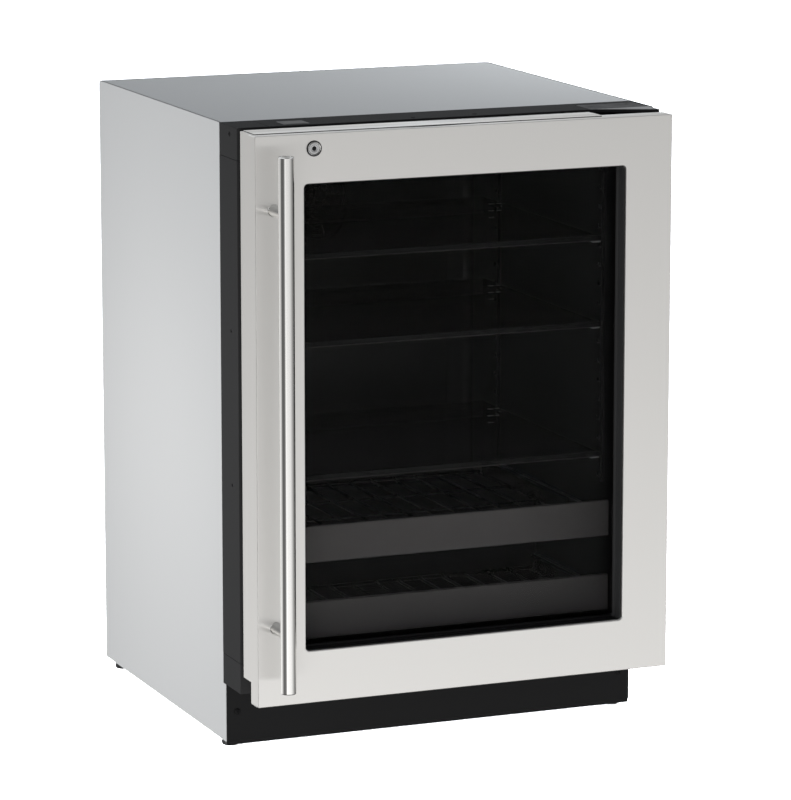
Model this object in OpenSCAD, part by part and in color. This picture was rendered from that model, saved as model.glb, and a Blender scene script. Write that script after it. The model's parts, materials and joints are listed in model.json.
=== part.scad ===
/* [Cabinet] */
// Width over the two side panels
case_w = 606; // [590:1:620]
// Height of the top panel above the floor
case_h = 860; // [850:1:880]
// Depth of the grey outer case, behind the front frame
case_d = 500; // [490:1:530]
// Depth of the black front frame
frame_d = 67; // [60:1:75]
// Width of the front frame's rails, which is also the thickness of the insulated walls
wall = 46; // [44:1:48]
// Height of the front frame's lower edge above the floor
frame_z = 92; // [88:1:96]
// Height of the side panels' lower edges above the floor
case_z = 11; // [9:1:13]
// How far the kick plate stands in front of the case
kick_reach = 9; // [6:1:12]
// Depth of the machine compartment at the rear
machine_d = 242; // [236:1:250]
// Height of the machine compartment's ceiling above the floor
machine_h = 196; // [192:1:200]

/* [Door] */
// Thickness of the door
door_d = 55.4; // [54:0.1:57]
// Depth of the door's rear part, which the hinge brackets sit in
door_rear_d = 28.3; // [28:0.1:30]
// Gap between the front frame and the door, which the gasket fills
gasket_gap = 9; // [8.6:0.1:10]
// Height of the door's lower edge above the floor
door_z = 88; // [84:1:88]
// Width of the window
window_w = 466; // [440:1:470]
// Height of the window
window_h = 630; // [600:1:634]
// Radius of the window's corners
window_r = 5.5; // [3:0.5:10]
// How far the door opens about its hinge pins, which the notches leave room for, in degrees
door_swing = 105; // [90:1:105]

/* [Handle] */
// Diameter of the handle bar
bar_d = 21; // [16:1:24]
// Length of the handle bar
bar_l = 718; // [650:1:730]
// Distance from the door's front to the bar's axis
bar_reach = 45; // [36:1:65]
// Diameter of the two posts that hold the bar
post_d = 16; // [8:1:16]

/* [Inside] */
// Heights of the three shelves' upper faces above the floor
shelf_heights = [676.5, 556, 372.6];
// Height of the rack fascias
fascia_h = 51; // [45:1:54]
// How far a rack slides forward behind the closed door
rack_travel = 36; // [24:1:45]
// Pitch of the notches in the shelf strips
notch_pitch = 27; // [20:1:35]

/* [Legs] */
// Diameter of the levelling legs' feet
foot_d = 24; // [18:1:26]
// Distance of each leg's axis in from the side panel's outer face
leg_inset = 16; // [14:1:20]

/* [Hidden] */
$fn = 64;

// Colours
grey_paint = [0.77, 0.78, 0.79];
stainless = [0.80, 0.79, 0.77];
black_plastic = [0.16, 0.16, 0.17];
black_paint = [0.12, 0.12, 0.12];
zinc = [0.66, 0.67, 0.68];
foam = [0.93, 0.87, 0.68];
clear_glass = [0.70, 0.80, 0.80, 0.35];
bronze_grey = [0.24, 0.23, 0.235];
copper = [0.72, 0.45, 0.30];
rubber_black = [0.08, 0.08, 0.08];

// Sheet thicknesses and small clearances
sheet = 1;
skin = 1.2;
liner_t = 1.5;
joint_gap = 0.3;
running = 0.05;
overlap = 1;

// Front to back: the handle's front and the case's back are equally far from the origin
total_d = case_d + frame_d + gasket_gap + door_d + bar_reach + bar_d / 2;
y_back = total_d / 2;
y_case = y_back - case_d;
y_frame = y_case - frame_d;
y_door = y_frame - gasket_gap;
y_step = y_door - door_rear_d;
y_front = y_door - door_d;
y_bar = y_front - bar_reach;
y_kick = y_case - kick_reach;

// Side to side
x_out = case_w / 2;
x_in = x_out - wall;
x_liner = x_in - liner_t;

// Bottom to top
ceiling_h = 43;
floor_h = 42;
z_floor = frame_z + floor_h;
z_ceiling = case_h - ceiling_h;
z_inside = z_floor + liner_t;
z_inside_top = z_ceiling - liner_t;

// Insulated step over the machine compartment
step_t = 48;
z_step = machine_h + step_t;
y_machine = y_back - machine_d;
y_step_front = y_machine - wall;
rear_wall = 47;
y_rear_foam = y_back - rear_wall;
y_inside_back = y_rear_foam - liner_t;

// Anti-tip holes in the sides of the front frame
fix_r = 2.25;
fix_depth = 20;
fix_y = y_case - 40;
fix_heights = [375, 585];

// Levelling legs
leg_x = x_out - leg_inset;
leg_y_front = y_case + 18;
leg_y_rear = y_back - 30;
stud_r = 4;
stud_top = 56;
foot_h = 7;
pan_z = 14;
pan_t = 1.5;
nut_h = 8.5;
nut_r = 9;

// Kick plate
kick_z = 6;
kick_gap = 0.2;
kick_screw_x = x_out - 16.6;
kick_screw_z = 52;
kick_screw_r = 2.5;

// Door
door_inset = 1.5;
x_door = x_out - door_inset;
z_door_top = case_h - 3;
z_rear_part = door_z + 30;
window_z = 475;
glass_lap = 22;
glass_t = 4;
spacer_t = 12;
spacer_w = 12;
glass_back = 0.1;
glass_hold = 10;
y_glass = y_step + running;
window_return = 3;

// Hinge
pin_x = x_out - 16;
pin_y = y_door - 12.5;
pin_r = 4;
tab_r = 11;
notch_z = case_h - 10;
notch_x = pin_x - 80;
plate_t = 4;
plate_left = pin_x - 78;
plate_back = y_frame + 50;
pin_length = 16;
bushing_r = 7;
bushing_flange_r = 10;
bushing_l = 12;
low_tab_z = z_rear_part - 10;
low_tab_t = 5;
low_leg_left = x_in + 5;
top_screws = [[pin_x - 65, y_frame + 26], [pin_x - 7, y_frame + 14], [pin_x - 7, y_frame + 38]];
low_screws_x = [pin_x - 17, pin_x + 3];
low_screw_z = low_tab_z - 7;
hinge_screw_r = 2.5;
hinge_screw_l = 16;
screw_head_r = 4.2;
screw_head_h = 2.4;

// Gasket
gasket_w = 9;
gasket_t = gasket_gap - joint_gap;
gasket_x = pin_x - 6;
gasket_low = z_rear_part + 3;
gasket_high = z_ceiling + 10;

// Lock
lock_x = -x_out + 84;
lock_z = case_h - 23;
lock_r = 8;
lock_body_r = 9.5;
lock_flange_r = 10.6;
lock_flange_t = 1.5;
cam_l = 16;
cam_w = 8;
cam_t = 2;
y_cam = y_door + 2.8;
y_strike_lip = y_door + 0.8;
strike_lip_t = 1.5;
strike_x = lock_x + 11;
strike_w = 18;
strike_t = 2;

// Handle
bar_x = -x_out + 27.5;
bar_z = 117;
post_heights = [196, 758];

// Shelves and racks
y_shelf = y_case - 20;
shelf_t = 5;
shelf_w = x_liner - 6.5;
shelf_back = y_back - 110;
trim_t = 3.2;
trim_h = 8;
strip_w = 14;
strip_t = 5;
strip_low = 330;
strip_high = 790;
strip_front = y_case - 17;
strip_rear = y_back - 160;
notch_h = 6;
notch_depth = 3;
clip_l = 12;
clip_h = 4;
rail_w = 7.5;
rail_h = 12;
slide_gap = 0.5;
runner_w = 7;
rack_x = x_liner - rail_w - slide_gap;
rack_gap = 0.75;
y_rack = y_door + rack_travel + rack_gap;
fascia_x = x_liner - 1;
fascia_t = 8;
upper_fascia_z = 257.5;
lower_fascia_z = 152;
upper_rail_z = upper_fascia_z + 19;
lower_rail_z = lower_fascia_z + 17;
upper_rack_back = y_back - 115;
lower_rack_back = y_step_front - 12;
wire_r = 2.5;
wire_count = 13;

// Evaporator and its cover
evap_z = [360, 600];
evap_x = 150;
evap_fan_z = 690;
cover_y = y_inside_back - 42;
cover_t = 3;
cover_x = 200;
cover_z = [300, 760];
evap_fan_r = 36;

// Machine compartment
comp_x = 150;
comp_y = y_back - 118;
comp_r = 70;
comp_h = 138;
comp_round = 28;
mount_h = 14.5;
mount_r = 12;
comp_base = pan_z + pan_t + mount_h;
mount_dx = 60;
mount_dy = 55;
feet_t = 2.5;
shell_sink = 0.5;
comp_top = comp_base + feet_t - shell_sink + comp_h;
cond_x = [-240, -80];
cond_z = [20, 130];
cond_y = y_machine + 19;
cond_d = 40;
shroud_y = cond_y + cond_d + 3;
shroud_t = 2;
fan_x = -160;
fan_z = 75;
fan_r = 37;
fan_hub_r = 10;
fan_shaft_r = 3;
drier_r = 9;
line_r = 3.2;
gland_x = -120;
gland_z = 45;
gland_bore_r = 4;
gland_r = 9;
cover_inset = 6;
y_pan = y_case + 0.5;

// Route of the discharge line: up from the compressor, across, and down to the condenser
discharge_route = [
    [comp_x - 30, comp_y, comp_top + running], [comp_x - 30, comp_y, 176], [comp_x - 33, comp_y, 183],
    [comp_x - 40, comp_y, 186], [comp_x - 80, comp_y, 186], [comp_x - 90, comp_y - 3, 186],
    [comp_x - 96, comp_y - 12, 186], [comp_x - 96, comp_y - 60, 186], [comp_x - 100, comp_y - 75, 186],
    [comp_x - 112, comp_y - 82, 186], [-80, comp_y - 85, 186], [-92, comp_y - 85, 183],
    [-98, comp_y - 85, 174], [-98, comp_y - 85, 132]
];
// Route of the suction line: from the compressor's side up into the foam
suction_route = [
    [comp_x + comp_r + running, comp_y, 120], [comp_x + 78, comp_y, 120], [comp_x + 86, comp_y, 124],
    [comp_x + 90, comp_y, 133], [comp_x + 90, comp_y, 195]
];

// A box between two corners, given as ranges along X, Y and Z
module block(x, y, z) {
    translate([x[0], y[0], z[0]]) cube([x[1] - x[0], y[1] - y[0], z[1] - z[0]]);
}

// Turns a shape that is built along +Z to run along +Y from a point
module along_y(p) {
    translate(p) rotate([-90, 0, 0]) children();
}

// Turns a shape that is built along +Z to run along +X from a point
module along_x(p) {
    translate(p) rotate([0, 90, 0]) children();
}

// Extrudes an outline of Y and Z values along X
module yz_plate(points, x) {
    translate([x[0], 0, 0]) rotate([90, 0, 90]) linear_extrude(x[1] - x[0]) polygon(points);
}

// Copies a shape to both sides of the middle plane
module both_sides() {
    children();
    mirror([1, 0, 0]) children();
}

// A rectangle with round corners, centred
module rounded_rectangle(w, h, r) {
    square([w - 2 * r, h], center = true);
    square([w, h - 2 * r], center = true);
    for (x = [-1, 1], z = [-1, 1])
        translate([x * (w / 2 - r), z * (h / 2 - r)]) circle(r);
}

// A screw with a domed head, its shank along -Z from the origin
module dome_screw(shank_r, shank_l, head_r, head_h) {
    translate([0, 0, -shank_l]) cylinder(r = shank_r, h = shank_l + overlap);
    rotate_extrude() intersection() {
        dome_r = (head_r * head_r + head_h * head_h) / (2 * head_h);
        translate([0, head_h - dome_r]) circle(dome_r);
        square([head_r, head_h]);
    }
}

// A fan wheel with its axis along +Z: a hub with a bore, and flat tilted blades
module fan_wheel(hub_r, tip_r, depth, blades, bore_r) {
    blade_t = 1.8;
    blade_tilt = 35;
    blade_w = (depth - 2) / sin(blade_tilt);
    difference() {
        union() {
            cylinder(r = hub_r, h = depth);
            for (i = [0:blades - 1])
                rotate(i * 360 / blades) translate([hub_r - 2, 0, depth / 2]) rotate([90 - blade_tilt, 0, 0])
                    translate([0, -blade_w * 0.4, -blade_t / 2])
                        cube([tip_r - hub_r, blade_w * 0.8, blade_t]);
        }
        translate([0, 0, -overlap]) cylinder(r = bore_r, h = depth + 2 * overlap);
    }
}

// A finned coil: straight tubes along X through upright fins
module finned_coil(x, y, z, fins, tubes) {
    fin_t = 1.2;
    tube_r = 4;
    pitch = (x[1] - x[0] - fin_t) / (fins - 1);
    rise = (z[1] - z[0]) / tubes;
    for (i = [0:fins - 1])
        block([x[0] + i * pitch, x[0] + i * pitch + fin_t], y, z);
    for (i = [0:tubes - 1])
        along_x([x[0] - 0.5 * overlap, (y[0] + y[1]) / 2, z[0] + (i + 0.5) * rise])
            cylinder(r = tube_r, h = x[1] - x[0] + overlap);
}

// A round tube swept along a list of points
function unit(v) = v / norm(v);
function heading(p, i) = unit(p[min(i + 1, len(p) - 1)] - p[max(i - 1, 0)]);
function ring(c, t, r, n) =
    let (a = unit(cross(t, [0.36, 0.48, 0.8])), b = cross(t, a))
    [for (k = [0:n - 1]) c + r * (cos(360 * k / n) * a + sin(360 * k / n) * b)];
module swept_tube(p, r, n) {
    last = (len(p) - 1) * n;
    points = [for (i = [0:len(p) - 1]) each ring(p[i], heading(p, i), r, n)];
    walls = [for (i = [0:len(p) - 2], k = [0:n - 1])
        [i * n + k, i * n + (k + 1) % n, (i + 1) * n + (k + 1) % n, (i + 1) * n + k]];
    start = [[for (k = [0:n - 1]) n - 1 - k]];
    end = [[for (k = [0:n - 1]) last + k]];
    polyhedron(points, concat(walls, start, end), convexity = 4);
}

// ---- Outer case ----

module side_panel_left() {
    color(grey_paint) yz_plate([
        [y_kick, case_z], [y_back, case_z], [y_back, case_h], [y_case, case_h],
        [y_case, frame_z], [y_kick, frame_z]
    ], [-x_out, -x_out + sheet]);
}

module side_panel_right() {
    color(grey_paint) mirror([1, 0, 0]) side_panel_left();
}

module top_panel() {
    half = x_out - sheet - 0.8;
    color(grey_paint) block([-half, half], [y_case, y_back], [case_h - sheet, case_h]);
}

module rear_panel() {
    half = x_out - sheet;
    color(zinc) block([-half, half], [y_back - sheet, y_back], [machine_h, case_h - sheet]);
}

module service_cover() {
    half = x_out - sheet - joint_gap;
    y = y_back - cover_inset;
    slot_l = 90;
    slot_h = 5;
    color(zinc) difference() {
        block([-half, half], [y, y + sheet], [pan_z + pan_t + joint_gap, machine_h - joint_gap]);
        for (x = [-210, -50, 110], i = [0:6])
            block([x, x + slot_l], [y - overlap, y + sheet + overlap], [80 + i * 14, 80 + i * 14 + slot_h]);
        along_y([gland_x, y - overlap, gland_z]) cylinder(r = gland_r, h = sheet + 2 * overlap);
    }
}

module mains_gland() {
    y = y_back - cover_inset;
    color(rubber_black) along_y([gland_x, y - 7, gland_z]) difference() {
        union() {
            cylinder(r = gland_r - running, h = 9);
            translate([0, 0, 8]) cylinder(r = gland_r + 3, h = 3);
            cylinder(r = gland_r + 2, h = 7);
        }
        translate([0, 0, -overlap]) cylinder(r = gland_bore_r, h = 11 + 2 * overlap);
    }
}

// ---- Front frame ----

module hinge_recess() {
    block([plate_left - joint_gap, pin_x + tab_r + joint_gap], [y_frame - overlap, plate_back + joint_gap],
        [case_h - plate_t, case_h + overlap]);
    for (p = top_screws)
        translate([p[0], p[1], case_h - hinge_screw_l - 2]) cylinder(r = hinge_screw_r + 0.1, h = 30);
}

module front_frame_rails() {
    color(black_plastic) {
        both_sides() difference() {
            block([-x_out, -x_in], [y_frame, y_case], [z_floor + joint_gap, z_ceiling - joint_gap]);
            for (z = fix_heights)
                along_x([-x_out - overlap, fix_y, z]) cylinder(r = fix_r, h = fix_depth + overlap);
        }
        difference() {
            block([-x_in + joint_gap, x_in - joint_gap], [y_frame, y_case], [z_ceiling, case_h]);
            hinge_recess();
        }
        block([-x_in + joint_gap, x_in - joint_gap], [y_frame, y_case], [frame_z, z_floor]);
    }
}

module corner_covers() {
    color(black_plastic) {
        block([-x_out, -x_in], [y_frame, y_case], [z_ceiling, case_h]);
        block([-x_out, -x_in], [y_frame, y_case], [frame_z, z_floor]);
        difference() {
            block([x_in, x_out], [y_frame, y_case], [z_ceiling, case_h]);
            hinge_recess();
        }
        difference() {
            block([x_in, x_out], [y_frame, y_case], [frame_z, z_floor]);
            for (x = low_screws_x)
                along_y([x, y_frame - overlap, low_screw_z]) cylinder(r = hinge_screw_r + 0.1, h = 20);
        }
    }
}

module kick_plate() {
    half = x_out - sheet - kick_gap;
    top = frame_z - kick_gap;
    color(black_paint) difference() {
        union() {
            block([-half, half], [y_kick, y_kick + skin], [kick_z, top]);
            both_sides() block([-half, -half + skin], [y_kick, y_case], [kick_z, top]);
        }
        for (x = [-kick_screw_x, kick_screw_x])
            along_y([x, y_kick - overlap, kick_screw_z]) cylinder(r = kick_screw_r + 0.1, h = skin + 2 * overlap);
    }
}

module kick_screws() {
    color(black_paint) for (x = [-kick_screw_x, kick_screw_x])
        translate([x, y_kick, kick_screw_z]) rotate([90, 0, 0]) dome_screw(kick_screw_r, 6, 4.6, 2.6);
}

// ---- Base ----

module base_pan() {
    half = x_out - sheet - joint_gap;
    color(zinc) difference() {
        block([-half, half], [y_pan, y_back - cover_inset - joint_gap], [pan_z, pan_z + pan_t]);
        for (x = [-leg_x, leg_x], y = [leg_y_front, leg_y_rear])
            translate([x, y, pan_z - overlap]) cylinder(r = stud_r + 1, h = pan_t + 2 * overlap);
    }
}

module leg_nuts() {
    color(zinc) for (x = [-leg_x, leg_x], y = [leg_y_front, leg_y_rear])
        translate([x, y, pan_z + pan_t]) difference() {
            cylinder(r = nut_r, h = nut_h);
            translate([0, 0, -overlap]) cylinder(r = stud_r + running, h = nut_h + 2 * overlap);
        }
}

// A levelling leg: round foot, hexagon for a spanner, and the stud
module levelling_leg(x, y) {
    foot_round = 1.5;
    hex_r = 7.5;
    color(black_plastic) translate([x, y, 0]) {
        cylinder(r1 = foot_d / 2 - foot_round, r2 = foot_d / 2, h = foot_round);
        translate([0, 0, foot_round]) cylinder(r = foot_d / 2, h = foot_h - foot_round);
        translate([0, 0, foot_h]) cylinder(r = hex_r, h = pan_z - foot_h - 0.1, $fn = 6);
        translate([0, 0, foot_h]) cylinder(r = stud_r, h = stud_top - foot_h);
    }
}

module leg_front_left() { levelling_leg(-leg_x, leg_y_front); }
module leg_front_right() { levelling_leg(leg_x, leg_y_front); }
module leg_rear_left() { levelling_leg(-leg_x, leg_y_rear); }
module leg_rear_right() { levelling_leg(leg_x, leg_y_rear); }

// ---- Liner and insulation ----

// The inside's outline, from the front opening round the floor, the step, the rear and the ceiling
function inside_outline(front, t) = [
    [front, z_floor + t], [y_step_front - t, z_floor + t], [y_step_front - t, z_step + t],
    [y_rear_foam - t, z_step + t], [y_rear_foam - t, z_ceiling - t], [front, z_ceiling - t]
];

module liner() {
    color(black_plastic) difference() {
        yz_plate(inside_outline(y_frame + 0.5, 0), [-x_in, x_in]);
        yz_plate(inside_outline(y_frame - overlap, liner_t), [-x_liner, x_liner]);
    }
}

module insulation() {
    half = x_in - joint_gap;
    y_end = y_back - sheet;
    color(foam) {
        both_sides() yz_plate([
            [y_case, z_floor + joint_gap], [y_machine, z_floor + joint_gap], [y_machine, machine_h],
            [y_end, machine_h], [y_end, case_h - sheet], [y_case, case_h - sheet]
        ], [-x_out + sheet, -x_in]);
        block([-half, half], [y_case, y_end], [z_ceiling, case_h - sheet]);
        block([-half, half], [y_rear_foam, y_end], [z_step + joint_gap, z_ceiling - joint_gap]);
        block([-x_out + sheet, x_out - sheet], [y_case, y_machine], [frame_z, z_floor]);
        block([-half, half], [y_step_front, y_machine], [z_floor + joint_gap, machine_h - joint_gap]);
        block([-half, half], [y_step_front, y_end], [machine_h, z_step]);
    }
}

// ---- Shelves ----

module shelf_strips() {
    notches = floor((strip_high - strip_low - 2 * notch_h) / notch_pitch);
    color(black_plastic) both_sides() for (y = [strip_front, strip_rear]) difference() {
        block([-x_liner, -x_liner + strip_t], [y, y + strip_w], [strip_low, strip_high]);
        for (i = [0:notches])
            block([-x_liner + strip_t - notch_depth, -x_liner + strip_t + overlap], [y + 2, y + strip_w - 2],
                [strip_low + notch_h + i * notch_pitch, strip_low + 2 * notch_h + i * notch_pitch]);
    }
}

module shelf_clips() {
    color(zinc) both_sides() for (z = shelf_heights, y = [strip_front, strip_rear])
        block([-x_liner + strip_t, -x_liner + strip_t + clip_l], [y + 3, y + strip_w - 3],
            [z - shelf_t - clip_h, z - shelf_t]);
}

module glass_shelves() {
    color(clear_glass) for (z = shelf_heights)
        block([-shelf_w, shelf_w], [y_shelf + trim_t, shelf_back], [z - shelf_t, z]);
}

module shelf_trims() {
    color(black_plastic) for (z = shelf_heights)
        block([-shelf_w, shelf_w], [y_shelf, y_shelf + trim_t], [z - shelf_t - 1, z - shelf_t - 1 + trim_h]);
}

// ---- Pull-out racks ----

module rack_rails() {
    color(zinc) both_sides() {
        block([-x_liner, -x_liner + rail_w], [y_case - 8, upper_rack_back], [upper_rail_z, upper_rail_z + rail_h]);
        block([-x_liner, -x_liner + rail_w], [y_case - 8, lower_rack_back], [lower_rail_z, lower_rail_z + rail_h]);
    }
}

// A wire tray: two runners, a front and a rear bar, and wires for the bottles to lie between
module rack_tray(back, rail_z, wire_z) {
    front = y_rack + fascia_t;
    bar_t = 6;
    half = rack_x - runner_w;
    pitch = 2 * half / (wire_count + 1);
    color(black_plastic) {
        both_sides() block([-rack_x, -half], [front, back], [wire_z - wire_r - 1, rail_z + rail_h]);
        block([-half - overlap, half + overlap], [front, front + bar_t], [wire_z - wire_r - 1, wire_z + 6]);
        block([-half - overlap, half + overlap], [back - bar_t, back], [wire_z - wire_r - 1, wire_z + 6]);
        for (i = [1:wire_count])
            along_y([-half + i * pitch, front + bar_t - overlap, wire_z])
                cylinder(r = wire_r, h = back - front - 2 * bar_t + 2 * overlap);
    }
}

module rack_fascia(z) {
    color(bronze_grey) block([-fascia_x, fascia_x], [y_rack, y_rack + fascia_t], [z, z + fascia_h]);
}

module upper_rack_tray() { rack_tray(upper_rack_back, upper_rail_z, upper_fascia_z + 9); }
module upper_rack_fascia() { rack_fascia(upper_fascia_z); }
module lower_rack_tray() { rack_tray(lower_rack_back, lower_rail_z, lower_fascia_z + 9); }
module lower_rack_fascia() { rack_fascia(lower_fascia_z); }

// ---- Cooling inside ----

module evaporator() {
    color(zinc) finned_coil([-evap_x, evap_x], [cover_y + 12, y_inside_back - 4], evap_z, 16, 6);
}

module evaporator_cover() {
    slot_h = 6;
    color(black_plastic) difference() {
        union() {
            block([-cover_x, cover_x], [cover_y, cover_y + cover_t], cover_z);
            both_sides() block([-cover_x, -cover_x + cover_t], [cover_y, y_inside_back], cover_z);
        }
        along_y([0, cover_y - overlap, evap_fan_z]) cylinder(r = evap_fan_r + 2, h = cover_t + 2 * overlap);
        for (i = [0:3])
            block([-140, 140], [cover_y - overlap, cover_y + cover_t + overlap],
                [cover_z[0] + 16 + i * 12, cover_z[0] + 16 + i * 12 + slot_h]);
    }
}

module evaporator_fan_motor() {
    color(black_plastic) along_y([0, 0, evap_fan_z]) {
        translate([0, 0, cover_y + 20]) cylinder(r = 20, h = y_inside_back - cover_y - 20);
        translate([0, 0, cover_y + 6]) cylinder(r = 2.5, h = 16);
    }
}

module evaporator_fan_blade() {
    color(zinc) along_y([0, cover_y + 7, evap_fan_z]) fan_wheel(9, evap_fan_r - 1, 9, 5, 2.5 + running);
}

module light_strip() {
    color([0.95, 0.95, 0.92]) block([-200, 200], [y_case - 12, y_case], [z_inside_top - 4, z_inside_top]);
}

module control_panel() {
    color(black_paint) block([-75, 75], [y_frame + 12, y_frame + 46], [z_inside_top - 8, z_inside_top]);
}

// ---- Machine compartment ----

module compressor() {
    color(black_paint) translate([comp_x, comp_y, comp_base]) {
        block([-mount_dx - 14, mount_dx + 14], [-mount_dy - 14, mount_dy + 14], [0, feet_t]);
        translate([0, 0, feet_t - shell_sink]) rotate_extrude() {
            square([comp_r - comp_round, comp_h]);
            translate([0, comp_round]) square([comp_r, comp_h - 2 * comp_round]);
            for (z = [comp_round, comp_h - comp_round])
                intersection() {
                    translate([comp_r - comp_round, z]) circle(comp_round);
                    square([comp_r, comp_h]);
                }
        }
    }
}

module compressor_mounts() {
    color(rubber_black) for (x = [-mount_dx, mount_dx], y = [-mount_dy, mount_dy])
        translate([comp_x + x, comp_y + y, pan_z + pan_t]) cylinder(r = mount_r, h = mount_h);
}

module terminal_box() {
    x = comp_x - comp_r - 0.5;
    color(black_plastic) block([x - 28, x], [comp_y - 24, comp_y + 24], [80, 140]);
}

module condenser() {
    color(black_paint) finned_coil(cond_x, [cond_y, cond_y + cond_d], cond_z, 20, 5);
}

module fan_shroud() {
    color(black_plastic) difference() {
        block(cond_x, [shroud_y, shroud_y + shroud_t], cond_z);
        along_y([fan_x, shroud_y - overlap, fan_z]) cylinder(r = fan_r + 3, h = shroud_t + 2 * overlap);
    }
}

module condenser_fan_motor() {
    y = shroud_y + shroud_t;
    motor_r = 24;
    arm_h = 14;
    arm_t = 3;
    reach = 52;
    color(zinc) {
        along_y([fan_x, y + 18, fan_z]) cylinder(r = motor_r, h = reach - 18);
        along_y([fan_x, y + 3, fan_z]) cylinder(r = fan_shaft_r, h = 16);
        block([cond_x[0], cond_x[1]], [y + reach - 1, y + reach + arm_t], [fan_z - arm_h / 2, fan_z + arm_h / 2]);
        for (x = [cond_x[0], cond_x[1] - arm_t])
            block([x, x + arm_t], [y, y + reach], [fan_z - arm_h / 2, fan_z + arm_h / 2]);
    }
}

module condenser_fan_blade() {
    color(black_plastic) along_y([fan_x, shroud_y + shroud_t + 4, fan_z])
        fan_wheel(fan_hub_r, fan_r, 12, 5, fan_shaft_r + running);
}

module filter_drier() {
    end_l = 10;
    color(copper) along_y([20, comp_y - 60, 160]) {
        cylinder(r1 = line_r, r2 = drier_r, h = end_l);
        translate([0, 0, end_l]) cylinder(r = drier_r, h = 70);
        translate([0, 0, end_l + 70]) cylinder(r1 = drier_r, r2 = line_r, h = end_l);
    }
}

module refrigerant_lines() {
    color(copper) {
        swept_tube(discharge_route, line_r, 10);
        swept_tube(suction_route, line_r, 10);
    }
}

module drain_pan() {
    x = [-62, 40];
    y = [y_machine + 16, comp_y + 60];
    z = [pan_z + pan_t, pan_z + pan_t + 26];
    t = 2;
    color(black_plastic) difference() {
        block(x, y, z);
        block([x[0] + t, x[1] - t], [y[0] + t, y[1] - t], [z[0] + t, z[1] + overlap]);
    }
}

module control_box() {
    color(zinc) block([-250, -185], [shroud_y + 70, y_back - 20], [20, 100]);
}

// ---- Hinges ----

// The hinge tab's outline: a slanted front edge from its left end to a round nose about the pin
module tab_outline(left, back) {
    reach = norm([pin_x - left, y_frame - pin_y]);
    lean = atan2(y_frame - pin_y, pin_x - left) + asin(tab_r / reach);
    length = sqrt(reach * reach - tab_r * tab_r);
    polygon([
        [left, y_frame], [left + length * cos(lean), y_frame - length * sin(lean)], [pin_x, pin_y],
        [pin_x + tab_r, pin_y], [pin_x + tab_r, back], [left, back]
    ]);
    translate([pin_x, pin_y]) circle(tab_r);
}

module hinge_bracket_top() {
    base = case_h - plate_t;
    color(black_paint) {
        difference() {
            translate([0, 0, base]) linear_extrude(plate_t) tab_outline(plate_left, plate_back);
            for (p = top_screws) {
                translate([p[0], p[1], base - overlap]) cylinder(r = hinge_screw_r + 0.1, h = plate_t + 2 * overlap);
                translate([p[0], p[1], case_h - screw_head_h]) cylinder(r = screw_head_r + 0.1, h = plate_t);
            }
        }
        translate([pin_x, pin_y, base - pin_length]) cylinder(r = pin_r, h = pin_length + overlap);
    }
}

module hinge_bracket_bottom() {
    leg_t = 4;
    leg_z = frame_z + 3;
    color(black_paint) difference() {
        union() {
            translate([0, 0, low_tab_z]) linear_extrude(low_tab_t) tab_outline(low_leg_left, y_frame);
            block([low_leg_left, pin_x + tab_r], [y_frame - leg_t, y_frame], [leg_z, low_tab_z + low_tab_t]);
            translate([pin_x, pin_y, low_tab_z]) cylinder(r = pin_r, h = low_tab_t + pin_length);
        }
        for (x = low_screws_x)
            along_y([x, y_frame - leg_t - overlap, low_screw_z])
                cylinder(r = hinge_screw_r + 0.1, h = leg_t + 2 * overlap);
    }
}

module hinge_screws() {
    color(zinc) {
        for (p = top_screws) {
            translate([p[0], p[1], case_h - hinge_screw_l]) cylinder(r = hinge_screw_r, h = hinge_screw_l);
            translate([p[0], p[1], case_h - screw_head_h]) cylinder(r = screw_head_r, h = screw_head_h);
        }
        for (x = low_screws_x)
            translate([x, y_frame - 4, low_screw_z]) rotate([90, 0, 0])
                dome_screw(hinge_screw_r, 16, screw_head_r, screw_head_h);
    }
}

module hinge_bushings() {
    color([0.85, 0.85, 0.82]) {
        difference() {
            translate([pin_x, pin_y, notch_z - bushing_l]) union() {
                cylinder(r = bushing_r, h = bushing_l + overlap);
                translate([0, 0, bushing_l]) cylinder(r = bushing_flange_r, h = 3);
            }
            translate([pin_x, pin_y, notch_z - bushing_l - overlap])
                cylinder(r = pin_r + running, h = bushing_l + 5 * overlap);
        }
        difference() {
            translate([pin_x, pin_y, z_rear_part]) union() {
                cylinder(r = bushing_r, h = bushing_l);
                translate([0, 0, -4.7]) cylinder(r = bushing_flange_r, h = 4.7);
            }
            translate([pin_x, pin_y, z_rear_part - 6]) cylinder(r = pin_r + running, h = bushing_l + 8);
        }
    }
}

// ---- Door ----

// The window's shape, cut through from front to back
module window_cut(grow, y) {
    translate([0, y[1], window_z]) rotate([90, 0, 0]) linear_extrude(y[1] - y[0])
        rounded_rectangle(window_w + 2 * grow, window_h + 2 * grow, window_r);
}

// What the top hinge plate and both pins need
module hinge_room() {
    block([notch_x, x_out], [y_step, y_door + overlap], [notch_z, case_h]);
    for (z = [notch_z - bushing_l - 4, z_rear_part - overlap])
        translate([pin_x, pin_y, z]) cylinder(r = bushing_r + running, h = bushing_l + 5);
}

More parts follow.
